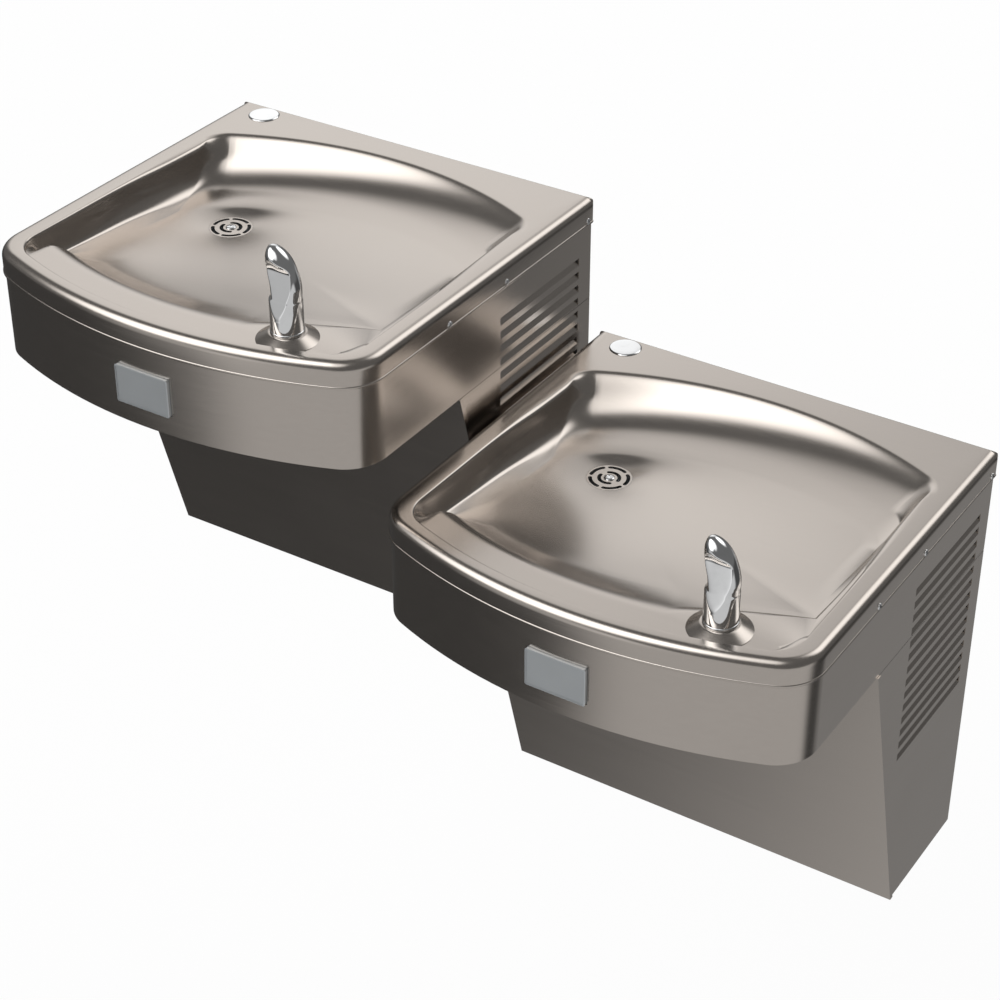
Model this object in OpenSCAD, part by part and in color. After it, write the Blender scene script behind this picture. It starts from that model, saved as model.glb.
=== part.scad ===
// Two-station wall-hung water cooler.
// Each station is modelled with x = 0 on its centre line, y = 0 on the wall and z = 0 on its deck top.
// The finished model has its origin at the centre of the left station's wall bolts.

/* [Stations] */
// Width of each deck
deck_w = 465; // [455:1:480]
// Depth of each deck from the wall to the middle of its bowed front
deck_d = 470.5; // [460:0.5:485]
// Radius of the bowed front
front_r = 556; // [520:1:620]
// Radius of the two front corners
corner_r = 48; // [42:1:54]
// Height of each station
station_h = 482.5; // [470:0.5:500]
// Gap between the two decks
station_gap = 11.2; // [9:0.1:16]
// How far the right station hangs below the left one
level_drop = 155.1; // [135:0.1:175]

/* [Sheet metal] */
// Thickness of the stainless sheets
sheet_t = 1.2; // [1:0.1:1.5]
// Gap between the deck's skirt and the apron inside it
skirt_gap = 0.5; // [0.4:0.05:0.8]
// Gap left between pieces that are fastened together
fit_gap = 0.3; // [0.2:0.05:0.35]
// How far the body's sheets stop short of the wall
back_setback = 2; // [1.8:0.1:4]

/* [Deck] */
// Height of the turned-down skirt
skirt_h = 28; // [27:0.5:32]
// Radius of the deck's rolled front and side edges
edge_r = 10; // [8:0.5:12]
// Radius of the deck's fold along the wall
back_fold_r = 2.2; // [2:0.1:3]
// Flat border left of the basin
border_left = 23.5; // [21:0.5:26]
// Flat border right of the basin
border_right = 21.5; // [20:0.5:25]
// Border in front of the basin, at its middle
border_front = 17.5; // [16:0.5:20]
// Border behind the basin, at its middle
border_back = 34; // [30:1:40]
// Radius of the basin's back edge
rim_back_r = 440; // [400:5:500]
// Radius of the basin rim's corners
rim_corner_r = 34; // [30:1:38]
// Depth of the front shelf below the border
shelf_drop = 3; // [2.5:0.25:4]
// Width of the front shelf
shelf_w = 28; // [25:1:32]

/* [Bowl] */
// Depth of the drain below the deck top
bowl_depth = 48; // [46:0.5:54]
// Distance of the drain from the centre line, to the left
drain_left = 109.5; // [105:0.5:114]
// Distance of the drain from the wall
drain_back = 187; // [180:1:195]
// Radius of the hole for the strainer
drain_hole_r = 24; // [23.8:0.1:24.5]
// Depth of the bowl's foot at the back left
foot_back_left = 43; // [40:0.5:45]
// Depth of the bowl's foot at the back right
foot_back_right = 20; // [17:0.5:24]
// Depth of the bowl's foot at the front left
foot_front_left = 37; // [34:0.5:40]
// Depth of the bowl's foot left of the bubbler
foot_front_mid = 14; // [12:0.5:16]
// Depth of the bowl's foot behind the bubbler
foot_platform = 4.2; // [4:0.1:5]

/* [Apron and cabinet] */
// Depth of the apron's lower edge below the deck top
apron_low = 118; // [117.8:0.1:120]
// How far the apron reaches up behind the skirt
apron_tuck = 12; // [10:0.5:14]
// Width of the apron's bottom flange
apron_flange = 12; // [8:0.5:16]
// Height of the seam between the apron and the cabinet
seam_gap = 0.6; // [0.4:0.1:1]
// Distance of the sloped front from the wall at the apron's lower edge
slope_top_d = 259; // [250:1:268]
// Distance of the sloped front from the wall at the underside
slope_foot_d = 156; // [152:1:165]
// How far the front panel reaches up behind the apron
panel_tuck = 26; // [20:1:34]
// Width of the front panel's side lips
panel_lip = 6; // [4:0.5:8]

/* [Louvers] */
// Number of louvers on each side
louver_count = 14; // [10:1:14]
// Depth of the first louver below the deck top
louver_first = 65; // [64.5:0.1:65]
// Distance between louvers
louver_pitch = 15.8; // [15.6:0.05:15.8]
// Height of a louver's window
louver_h = 9; // [8:0.25:9]
// Distance of the louvers' back ends from the wall
louver_back = 26; // [25:0.5:30]
// Length of a louver
louver_len = 155; // [140:1:160]
// How far a louver's blade leans inward
louver_lean = 7; // [5:0.5:8]

/* [Bubbler] */
// Distance of the bubbler from the centre line, to the right
bubbler_right = 136; // [134:0.5:138]
// Distance of the bubbler from the middle of the deck's front
bubbler_front = 61; // [60.5:0.5:62.5]
// Radius of the pedestal's base
pedestal_base_r = 31.5; // [29:0.5:32]
// Radius of the pedestal's top
pedestal_top_r = 18.5; // [18.5:0.5:20]
// Height of the pedestal
pedestal_h = 7.6; // [6:0.2:9]
// Radius of the bubbler's column
bubbler_r = 16.5; // [15:0.25:17.5]
// Height of the bubbler above its pedestal
bubbler_h = 89; // [84:1:94]

/* [Push pad] */
// Width of the pad
pad_w = 65; // [60:0.5:68]
// Height of the pad
pad_h = 41.5; // [38:0.5:44]
// Depth of the pad's middle below the deck top
pad_drop = 74.6; // [72:0.1:77]
// How far the pad stands proud of the deck's front
pad_proud = 1.5; // [1:0.1:2.5]
// How far the pad can be pushed in
pad_travel = 5; // [4:0.25:5.5]
// Clearance round the pad
pad_gap = 0.5; // [0.4:0.05:0.8]

/* [Wall frame] */
// Thickness of the frame's plate
frame_t = 1.5; // [1.5:0.1:2]
// Depth of the frame's flanges
frame_flange = 22; // [18:0.5:23]
// Distance of the wall bolts from the deck's sides
bolt_inset = 32.5; // [27.5:0.5:37.5]
// Distance between the wall bolts, up and down
bolt_span_z = 250; // [230:1:270]
// Radius of the wall bolt holes
bolt_hole_r = 4.5; // [3.5:0.1:5.5]
// Depth of the bolt pattern's middle below the deck top
bolt_drop = 230; // [220:1:240]

/* [Hidden] */

$fn = 64;

// One length that every cut runs past its faces
overrun = 3;

// Colours
steel = "#b8afa8";
dark_steel = "#8d8781";
galvanised = "#a9acad";
bright = "#e4e6e8";
pad_blue = "#a5acb0";
black = "#2a2a2c";
copper = "#b87848";
foam = "#3a3c40";
brass = "#b59a57";
white = "#e8e6e0";

// Derived sizes of the sheets
deck_hw = deck_w / 2;
skin_inset = sheet_t + skirt_gap;
inner_inset = skin_inset + sheet_t;
body_hw = deck_hw - skin_inset;
inside_hw = body_hw - sheet_t - fit_gap;
pitch_x = deck_w + station_gap;
apron_top = skirt_h - apron_tuck;
cabinet_top = apron_low + seam_gap;
slope = (slope_top_d - slope_foot_d) / (station_h - apron_low);
slope_t = sheet_t * sqrt(1 + slope * slope);
bolt_span_x = deck_w - 2 * bolt_inset;
bubbler_back = deck_d - bubbler_front;

// Points along each corner and each side of a deck ring
corner_steps = 7;
front_steps = 20;
back_steps = 16;
side_steps = 10;
ring_n = 4 * corner_steps + front_steps + back_steps + 2 * side_steps;

// Rolled edge, bowl wall and floor of the deck, in rings
roll_steps = 3;
wall_steps = 6;
floor_steps = 3;

// The rim's roll: how far it reaches in and down at the sides and back, and its small step in front
rim_roll = 7;
rim_roll_front = 2.4;

// Width of the bowl's wall on each side, and the radius of its foot's corners
wall_left = 27;
wall_right = 13;
wall_back = 58;
wall_front = 56;
foot_corner_r = 40;

// How square the wall's profile is: 2 is a quarter circle, more is steeper with a tighter foot
square_left = 4;
square_else = 2;

// Right front corner of the bowl, where its edge and foot pass behind the bubbler: how far left of the
// bubbler each leaves the front, how far left of it and behind it each bends, and how far behind it each
// meets the right side
edge_cut_left = 50.5;
edge_cut_bend = [18.5, 23.5];
edge_cut_behind = 57.5;
foot_cut_left = 68;
foot_cut_bend = [30, 45.5];
foot_cut_behind = 73.5;
edge_cut_a = bubbler_right - edge_cut_left;
edge_cut_mid = [bubbler_right - edge_cut_bend[0], edge_cut_bend[1] - bubbler_back];
edge_cut_b = edge_cut_behind - bubbler_back;
foot_cut_a = bubbler_right - foot_cut_left;
foot_cut_mid = [bubbler_right - foot_cut_bend[0], foot_cut_bend[1] - bubbler_back];
foot_cut_b = foot_cut_behind - bubbler_back;

// Places of the deck's holes and screws
drain_at = [-drain_left, -drain_back];
bubbler_at = [bubbler_right, -bubbler_back];
plug_r = 17.6;
plug_hole_r = 14;
plug_t = 1.4;
plug_leg = 9;
plug_side = 44;
plug_back = 20.4;
plug_at = [plug_side - deck_hw, -plug_back];
shank_r = 8.9;
shank_len = 60;
shank_hole_r = shank_r + fit_gap;
screw_r = 2;
screw_head_r = 3.6;
screw_head_h = 1.8;
screw_len = 7;
screw_rise = 5.5;
screw_drop = skirt_h - screw_rise;
screw_back = [11.5, 172, 276];
nut_across = 27;
nut_h = 6;

// Strainer
strainer_r = drain_hole_r - fit_gap;
slot_w = 4;
slot_outer_r = 19.6;
slot_inner_r = 10.4;
slot_outer_n = 5;
slot_inner_n = 2;
slot_outer_turn = 52;
slot_inner_turn = 125;
slot_outer_start = 20;
slot_inner_start = 60;
strainer_screw_r = 3;

// Drain cup and trap
cup_flange_r = 36;
cup_flange_t = 2;
cup_r = 24.6;
cup_h = 22;
tail_r = 15.9;
pipe_t = 1.2;
cup_low = 112;
trap_bend = 38;
trap_low = 268;
trap_out = 190;
slip_nut_r = 22;
slip_nut_h = 14;

// Pad, housing, valve
pad_t = 4;
pad_corner_r = 2;
pad_lip = 3;
pad_lip_t = 2;
bow_room = 1.2;
plunger_r = 5;
run_gap = 0.05;
housing_t = 3;
housing_room = 1.2;
spring_r = 8.4;
spring_wire_r = 0.7;
spring_turns = 6;
spring_ring_steps = 8;
spring_sides = 6;
stem_r = 3;
stem_in = 8;
valve_w = 36;
valve_h = 34;
valve_d = 36;
port_r = 6;
port_len = 8;
tube_r = 3.2;
tube_bend = 12;
tube_run_back = 60;
tube_fall = 300;
tube_run_low = level_drop + tube_fall;

// Cabinet floor and frame
vent_n = 9;
vent_w = 8;
vent_len = 90;
vent_pitch = 36;
floor_screw_side = 82.5;
floor_screw_x = deck_hw - floor_screw_side;
floor_screw_back = 12;
panel_flange = 16;
rough_in_side = 47.5;
rough_in_left = deck_hw - rough_in_side;
rough_in_w = 132;
rough_in_top = 120;
rough_in_h = 180;

// Chiller, in the right station
shelf_rise = 22;
shelf_top = station_h - shelf_rise;
shelf_t = 1.5;
shelf_x = [15, 215];
shelf_y = [-139.5, -22.5];
compressor_at = [115, -78];
compressor_r = 56;
compressor_h = 130;
compressor_round = 26;
compressor_plate = [126, 112, 3];
grommet_r = 8;
grommet_h = 10;
grommet_x = 50;
grommet_y = 44;
grommet_pin_r = 3;
terminal_box = [30, 44, 46];
condenser_x = [166, 204];
condenser_y = [-170, -24];
condenser_z = [-270.2, -116];
fin_pitch = 6;
fin_t = 0.8;
coil_r = 4.6;
coil_rows = 5;
bracket_x = 150;
bracket_t = 1.5;
fan_y = -97;
fan_z = -190;
fan_hole_r = 62;
fan_r = 57;
fan_hub_r = 14;
fan_hub_x = [136, 147];
fan_blades = 5;
fan_blade_w = 30;
fan_blade_t = 1.4;
fan_blade_turn = 18;
motor_r = 28;
motor_x = [98, 128];
motor_shaft_r = 3;
arm_z = 15;
arm_y = 67;
arm_w = 10;
arm_t = 2;
arm_post_r = 3;
tank_at = [0, -60];
tank_r = 50;
tank_z = [-305, -130];
tank_cap = 8;
tank_strap_w = 16;
tank_strap_t = 2;
drier_r = 10;
drier_x = [60, 130];
line_r = 3.2;
line_bend = 10;
line_y = -140;
line_z = -290;
suction_z = -380;
discharge_y = -50;
thermostat_at = [90, -80];
thermostat_size = [44, 30, 36];
knob_r = 11;
knob_h = 12;
knob_stem_r = 3;
knob_stem = 10;
box_x = [-200, -110];
box_y = -62;
box_z = [-440, -350];
box_wall = 1.2;
gland_r = 10;
gland_len = 14;
gland_bore_r = 4.2;
stop_at = [-160, -25, -240];
stop_body_r = 10;
stop_body_h = 34;
stop_bore_r = 4.8;
stop_bore_len = 14;
stop_reach = 20;
stop_handle_w = 34;
stop_handle_t = 5;
stop_handle_h = 12;
stop_stem_r = 3;
stop_stem = 16;
inlet_z = -138;
side_grommet_r = 9;
side_grommet_t = 4;

// Position of a station
module at_upper() {
    translate([0, 0, bolt_drop]) children();
}

module at_lower() {
    translate([pitch_x, 0, bolt_drop - level_drop]) children();
}

// Small helpers
function mix(a, b, t) = a + (b - a) * t;
function ease(t) = (1 - cos(180 * t)) / 2;
function unit(v) = v / norm(v);
function bezier(a, c, b, t) = mix(mix(a, c, t), mix(c, b, t), t);

module box(low, high) {
    translate(low) cube(high - low);
}

// A cylinder from point a to point b, which differ along one axis
module rod(a, b, r) {
    d = b - a;
    tilt = d.z == 0 ? (d.x == 0 ? [d.y > 0 ? -90 : 90, 0, 0] : [0, d.x > 0 ? 90 : -90, 0])
        : (d.z > 0 ? [0, 0, 0] : [180, 0, 0]);
    translate(a) rotate(tilt) cylinder(r = r, h = norm(d));
}

// A quarter bend at corner p, coming along u and leaving along v
module bend(p, u, v, bend_r, r) {
    c = p - u * bend_r + v * bend_r;
    w = cross(-v, u);
    multmatrix([
        [-v.x, u.x, w.x, c.x],
        [-v.y, u.y, w.y, c.y],
        [-v.z, u.z, w.z, c.z],
        [0, 0, 0, 1]])
        rotate_extrude(angle = 90) translate([bend_r, 0]) circle(r);
}

// A tube through the points, with straight runs along the axes and quarter bends between them
module tube_run(points, r, bend_r) {
    last = len(points) - 1;
    for (i = [0 : last - 1]) {
        u = unit(points[i + 1] - points[i]);
        from = i == 0 ? points[i] : points[i] + u * bend_r;
        to = i == last - 1 ? points[i + 1] : points[i + 1] - u * bend_r;
        if (norm(to - from) > 0) rod(from, to, r);
    }
    if (last > 1) for (i = [1 : last - 1])
        bend(points[i], unit(points[i] - points[i - 1]), unit(points[i + 1] - points[i]), bend_r, r);
}

// Plan of a station with its bowed front, drawn in by inset and stopped short of the wall
module plan_shape(inset, back) {
    hw = deck_hw - inset;
    r = corner_r - inset;
    big = front_r - inset;
    arc_y = front_r - deck_d;
    fx = hw - r;
    fy = arc_y - sqrt(pow(big - r, 2) - pow(fx, 2));
    tx = fx * big / (big - r);
    intersection() {
        translate([0, arc_y]) circle(big);
        translate([-tx, -deck_d]) square([2 * tx, deck_d + fy + r / 2]);
    }
    translate([-hw, fy]) square([2 * hw, -fy - back]);
    for (s = [-1, 1]) translate([s * fx, fy]) circle(r);
}

// One ring of the deck as a list of points, counter-clockwise from its right front corner.
// xl and xr are its sides, yf and yb the middles of its front and back, rf and rb their radii,
// cf and cb the radii of its front and back corners; rb = 0 gives a straight back.
function half_angle(h, r, c) = r == 0 ? 0 : asin((h - c) / (r - c));
function corner_y(y, s, h, r, c) = r == 0 ? y - s * c
    : y - s * r + s * sqrt(pow(r - c, 2) - pow(h - c, 2));
function arc_side(cx, y, s, r, from, to, n) =
    [for (i = [1 : n - 1]) let (a = mix(from, to, i / n))
        [cx + r * sin(a), y - s * r + s * r * cos(a)]];
function line_side(a, b, n) = [for (i = [1 : n - 1]) mix(a, b, i / n)];
function corner_arc(x, y, c, from, to) =
    [for (j = [0 : corner_steps]) let (a = mix(from, to, j / corner_steps))
        [x + c * cos(a), y + c * sin(a)]];
function cut_corner(a, c, b) = [for (j = [0 : corner_steps]) bezier(a, c, b, j / corner_steps)];

function ring(xl, xr, yf, rf, cf, yb, rb, cb, cut = []) =
    let (cx = (xl + xr) / 2,
        h = (xr - xl) / 2,
        pf = half_angle(h, rf, cf),
        pb = half_angle(h, rb, cb),
        fy = corner_y(yf, -1, h, rf, cf),
        by = corner_y(yb, 1, h, rb, cb),
        fr_angle = len(cut) == 0 ? pf : asin((cut[0] - cx) / rf),
        fr_start = [cx + rf * sin(fr_angle), yf + rf - rf * cos(fr_angle)],
        fr = len(cut) == 0 ? corner_arc(xr - cf, fy, cf, pf - 90, 0)
            : cut_corner(fr_start, cut[1], [xr, cut[2]]),
        br = corner_arc(xr - cb, by, cb, 0, 90 - pb),
        bl = corner_arc(xl + cb, by, cb, 90 + pb, 180),
        fl = corner_arc(xl + cf, fy, cf, 180, 270 - pf),
        back = rb == 0 ? line_side(br[corner_steps], bl[0], back_steps)
            : arc_side(cx, yb, 1, rb, pb, -pb, back_steps))
    concat(fr, line_side(fr[corner_steps], br[0], side_steps),
        br, back,
        bl, line_side(bl[corner_steps], fl[0], side_steps),
        fl, arc_side(cx, yf, -1, rf, -pf, fr_angle, front_steps));

// Values that change round a ring: one at each corner's start and end, and even between them
function round_values(fr0, fr1, br0, br1, bl0, bl1, fl0, fl1) = concat(
    [for (j = [0 : corner_steps]) mix(fr0, fr1, 1 - pow(1 - j / corner_steps, 2))],
    [for (i = [1 : side_steps - 1]) mix(fr1, br0, i / side_steps)],
    [for (j = [0 : corner_steps]) mix(br0, br1, j / corner_steps)],
    [for (i = [1 : back_steps - 1]) mix(br1, bl0, i / back_steps)],
    [for (j = [0 : corner_steps]) mix(bl0, bl1, j / corner_steps)],
    [for (i = [1 : side_steps - 1]) mix(bl1, fl0, i / side_steps)],
    [for (j = [0 : corner_steps]) mix(fl0, fl1, j / corner_steps)],
    [for (i = [1 : front_steps - 1]) mix(fl1, fr0, i / front_steps)]);

// Rings of the deck
function outline_ring(in, back_in) =
    ring(-deck_hw + in, deck_hw - in, -deck_d + in, front_r - in, corner_r - in,
        -back_in, 0, max(back_fold_r - back_in, sheet_t));
function rim_ring(in, front_in) =
    ring(-deck_hw + border_left + in, deck_hw - border_right - in,
        -deck_d + border_front + front_in, front_r - border_front - front_in, rim_corner_r - in,
        -border_back - in, rim_back_r - in, rim_corner_r - in);
function edge_ring() =
    ring(-deck_hw + border_left + rim_roll, deck_hw - border_right - rim_roll,
        -deck_d + border_front + shelf_w, front_r - border_front - shelf_w, rim_corner_r - rim_roll,
        -border_back - rim_roll, rim_back_r - rim_roll, rim_corner_r - rim_roll,
        [edge_cut_a, edge_cut_mid, edge_cut_b]);
function foot_ring() =
    let (in = border_front + shelf_w + wall_front)
    ring(-deck_hw + border_left + rim_roll + wall_left, deck_hw - border_right - rim_roll - wall_right,
        -deck_d + in, front_r - in, foot_corner_r,
        -border_back - rim_roll - wall_back, rim_back_r - rim_roll - wall_back, foot_corner_r,
        [foot_cut_a, foot_cut_mid, foot_cut_b]);

function lift(flat, z) = [for (p = flat) [p.x, p.y, z]];
function lift_each(flat, zs) = [for (i = [0 : len(flat) - 1]) [flat[i].x, flat[i].y, zs[i]]];

// Depth round the rim: one value in front and another along the sides and back
function rim_z(front, side) =
    round_values(-front, -mix(front, side, 0.3), -side, -side, -side, -side, -side, -front);
edge_z = rim_z(shelf_drop, rim_roll);
foot_z = round_values(-foot_front_mid, -foot_platform, -foot_back_right, -foot_back_right,
    -foot_back_left, -foot_back_left, -foot_front_left, -foot_front_left);
// 1 where the wall is a gentle S, 0 where it is steep with a round foot
soft_share = round_values(0.8, 1, 0, 0, 0, 0, 0.2, 0.6);
square_n = round_values(square_else, square_else, square_else, square_else,
    square_else, square_left, square_left, square_else);

edge_pts = lift_each(edge_ring(), edge_z);
foot_pts = lift_each(foot_ring(), foot_z);

function wall_point(e, f, soft, n, t) =
    let (h = mix(1 - pow(cos(90 * t), 2 / n), t, soft),
        v = mix(pow(sin(90 * t), 2 / n), ease(t), soft))
    [mix(e.x, f.x, h), mix(e.y, f.y, h), mix(e.z, f.z, v)];
function drain_point(f) =
    let (d = unit([f.x - drain_at.x, f.y - drain_at.y]))
    [drain_at.x + drain_hole_r * d.x, drain_at.y + drain_hole_r * d.y, -bowl_depth];

deck_rings = concat(
    [lift(outline_ring(0, 0), -skirt_h)],
    [for (k = [0 : roll_steps])
        let (a = 90 * k / roll_steps)
        lift_each(outline_ring(edge_r * (1 - cos(a)), back_fold_r * (1 - cos(a))),
            [for (p = outline_ring(0, 0)) -(p.y > -sheet_t ? back_fold_r : edge_r) * (1 - sin(a))])],
    [for (a = [0, 30, 60])
        let (in = sin(a), drop = 1 - cos(a))
        lift_each(rim_ring(rim_roll * in, rim_roll_front * in),
            rim_z(2 * shelf_drop * drop, rim_roll * drop))],
    [for (k = [0 : wall_steps])
        [for (i = [0 : ring_n - 1])
            wall_point(edge_pts[i], foot_pts[i], soft_share[i], square_n[i], k / wall_steps)]],
    [for (k = [1 : floor_steps])
        [for (i = [0 : ring_n - 1]) mix(foot_pts[i], drain_point(foot_pts[i]), k / floor_steps)]]);
ring_count = len(deck_rings);

// The sheet's underside lies one thickness below its top, along the surface's own slope
function surface_normal(rings, i, j) =
    let (along = rings[i][(j + 1) % ring_n] - rings[i][(j + ring_n - 1) % ring_n],
        in = rings[min(i + 1, ring_count - 1)][j] - rings[max(i - 1, 0)][j])
    unit(cross(along, in));
under_rings = [for (i = [0 : ring_count - 1])
    [for (j = [0 : ring_n - 1])
        let (p = deck_rings[i][j], n = surface_normal(deck_rings, i, j))
        i == 0 ? p - sheet_t * unit([n.x, n.y, 0])
            : i == ring_count - 1 ? p - [0, 0, sheet_t]
            : p - sheet_t * n]];

function band(a, b, n) = [for (j = [0 : n - 1]) let (k = (j + 1) % n)
    each [[a + j, b + j, b + k], [a + j, b + k, a + k]]];

module deck_sheet() {
    under = ring_count * ring_n;
    last = (ring_count - 1) * ring_n;
    polyhedron(
        points = concat([for (r = deck_rings) each r], [for (r = under_rings) each r]),
        faces = concat(
            [for (i = [0 : ring_count - 2]) each band(i * ring_n, (i + 1) * ring_n, ring_n)],
            [for (i = [0 : ring_count - 2]) each band(under + (i + 1) * ring_n, under + i * ring_n, ring_n)],
            band(under, 0, ring_n),
            band(last, under + last, ring_n)));
}

module deck() {
    color(steel) difference() {
        deck_sheet();
        translate([bubbler_at.x, bubbler_at.y, -shelf_drop - overrun])
            cylinder(r = shank_hole_r, h = 2 * overrun);
        translate([plug_at.x, plug_at.y, -overrun]) cylinder(r = plug_hole_r, h = 2 * overrun);
        deck_screw_places() rotate([0, 90, 0])
            translate([0, 0, -sheet_t - overrun])
                cylinder(r = screw_r + run_gap, h = sheet_t + 2 * overrun);
    }
}

// The six screw places on the skirt, each with its local x pointing outward
module deck_screw_places() {
    for (s = [0, 1]) mirror([s, 0, 0])
        for (y = screw_back) translate([deck_hw, -y, -screw_drop]) children();
}

module deck_screws() {
    color(bright) deck_screw_places() rotate([0, 90, 0]) {
        cylinder(r1 = screw_head_r, r2 = screw_head_r / 2, h = screw_head_h);
        translate([0, 0, -screw_len]) cylinder(r = screw_r, h = screw_len);
    }
}

// Slot that follows a circle, with round ends
module ring_slot(r, turn) {
    rotate(-turn / 2) rotate_extrude(angle = turn)
        translate([r - slot_w / 2, 0]) square([slot_w, 2 * overrun]);
    for (a = [-turn / 2, turn / 2]) rotate(a) translate([r, 0, 0]) cylinder(d = slot_w, h = 2 * overrun);
}

module strainer() {
    color(steel) translate([drain_at.x, drain_at.y, -bowl_depth - sheet_t]) difference() {
        cylinder(r = strainer_r, h = sheet_t);
        translate([0, 0, -overrun]) {
            for (i = [0 : slot_outer_n - 1])
                rotate(360 * i / slot_outer_n + slot_outer_start) ring_slot(slot_outer_r, slot_outer_turn);
            for (i = [0 : slot_inner_n - 1])
                rotate(360 * i / slot_inner_n + slot_inner_start) ring_slot(slot_inner_r, slot_inner_turn);
            cylinder(r = strainer_screw_r + run_gap, h = 2 * overrun);
        }
    }
}

module strainer_screw() {
    color(bright) translate([drain_at.x, drain_at.y, -bowl_depth]) {
        cylinder(r1 = 2 * strainer_screw_r, r2 = strainer_screw_r, h = screw_head_h);
        translate([0, 0, -cup_h / 2]) cylinder(r = strainer_screw_r, h = cup_h / 2);
    }
}

module hole_plug() {
    color(bright) translate([plug_at.x, plug_at.y, 0]) {
        cylinder(r1 = plug_r, r2 = plug_r - plug_t / 2, h = plug_t);
        difference() {
            translate([0, 0, -plug_leg]) cylinder(r = plug_hole_r - fit_gap, h = plug_leg);
            translate([0, 0, -plug_leg - overrun])
                cylinder(r = plug_hole_r - fit_gap - 2 * sheet_t, h = plug_leg + overrun - sheet_t);
        }
    }
}

// Louvers number first to last; side 1 is the right and -1 the left
function louver_z(i) = -louver_first - i * louver_pitch;
louvers_in_apron = floor((apron_low - louver_first - louver_h / 2 - fit_gap) / louver_pitch) + 1;

module louver_windows(first, last) {
    for (s = [0, 1]) mirror([s, 0, 0]) for (i = [first : last])
        box([body_hw - sheet_t - overrun, -louver_back - louver_len, louver_z(i) - louver_h / 2],
            [body_hw + overrun, -louver_back, louver_z(i) + louver_h / 2]);
}

module louver_blades(first, last) {
    for (s = [0, 1]) mirror([s, 0, 0]) for (i = [first : last])
        translate([body_hw, -louver_back, louver_z(i) - louver_h / 2])
            rotate([90, 0, 0]) linear_extrude(louver_len)
                polygon([
                    [0, 0],
                    [-sheet_t, 0],
                    [-louver_lean, louver_h],
                    [-louver_lean + sheet_t, louver_h]]);
}

module apron() {
    color(steel) {
        difference() {
            translate([0, 0, -apron_low]) linear_extrude(apron_low - apron_top) difference() {
                plan_shape(skin_inset, back_setback);
                plan_shape(inner_inset, -overrun);
            }
            louver_windows(0, louvers_in_apron - 1);
            pad_window();
            deck_screw_places() rotate([0, 90, 0])
                translate([0, 0, -inner_inset - overrun])
                    cylinder(r = screw_r + run_gap, h = inner_inset + 2 * overrun);
        }
        louver_blades(0, louvers_in_apron - 1);
        translate([0, 0, -apron_low]) linear_extrude(sheet_t) difference() {
            plan_shape(skin_inset + sheet_t / 2, back_setback);
            plan_shape(skin_inset + apron_flange, back_setback);
            translate([-deck_w, -slope_top_d - overrun]) square([2 * deck_w, deck_d]);
        }
    }
}

module pad_window() {
    translate([0, -deck_d, -pad_drop])
        cube([pad_w + 2 * pad_gap, deck_d / 2, pad_h + 2 * pad_gap], center = true);
}

// Distance of the sloped front's outer face from the wall at depth z below the deck top
function slope_d(z) = slope_top_d - (z - apron_low) * slope;

// A sheet that stands square to x, from a list of [distance from the wall, depth] points
module side_sheet(x, t, points) {
    translate([x, 0, 0]) rotate([90, 0, 90]) linear_extrude(t)
        polygon([for (p = points) [-p[0], -p[1]]]);
}

// Cabinet whose passage hole is in its right side (side 1) or left side (side -1)
module cabinet(side, passage_low) {
    front_gap = slope_t + fit_gap;
    floor_z = station_h - sheet_t;
    color(steel) {
        difference() {
            for (x = [-body_hw, body_hw - sheet_t]) side_sheet(x, sheet_t, [
                [back_setback, cabinet_top],
                [slope_d(cabinet_top) - front_gap, cabinet_top],
                [slope_d(station_h) - front_gap, station_h],
                [back_setback, station_h]]);
            louver_windows(louvers_in_apron, louver_count - 1);
            side_passage(side, passage_low);
        }
        louver_blades(louvers_in_apron, louver_count - 1);
        difference() {
            box([-body_hw + sheet_t / 2, -slope_d(station_h) + front_gap, -station_h],
                [body_hw - sheet_t / 2, -back_setback, -floor_z]);
            for (i = [0 : vent_n - 1])
                translate([(i - (vent_n - 1) / 2) * vent_pitch, -slope_foot_d / 2, -station_h])
                    cube([vent_w, vent_len, 2 * overrun], center = true);
            floor_screw_places() translate([0, 0, -overrun]) cylinder(r = screw_r + run_gap, h = 2 * overrun);
        }
    }
}

// Hole for the tube between the stations, in the side that faces the other station
module side_passage(side, low) {
    translate([side * deck_hw, -tube_run_back, -low]) rotate([0, 90, 0])
        cylinder(r = side_grommet_r - sheet_t, h = deck_hw, center = true);
}

// Screws up through the cabinet's floor: two into the wall frame, two into the front panel
module floor_screw_places() {
    for (x = [-floor_screw_x, floor_screw_x], y = [floor_screw_back, slope_foot_d - panel_flange / 2])
        translate([x, -y, -station_h]) children();
}

module panel_screws() {
    color(bright) floor_screw_places() {
        translate([0, 0, -screw_head_h])
            cylinder(r1 = screw_head_r / 2, r2 = screw_head_r, h = screw_head_h);
        cylinder(r = screw_r, h = screw_len);
    }
}

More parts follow.
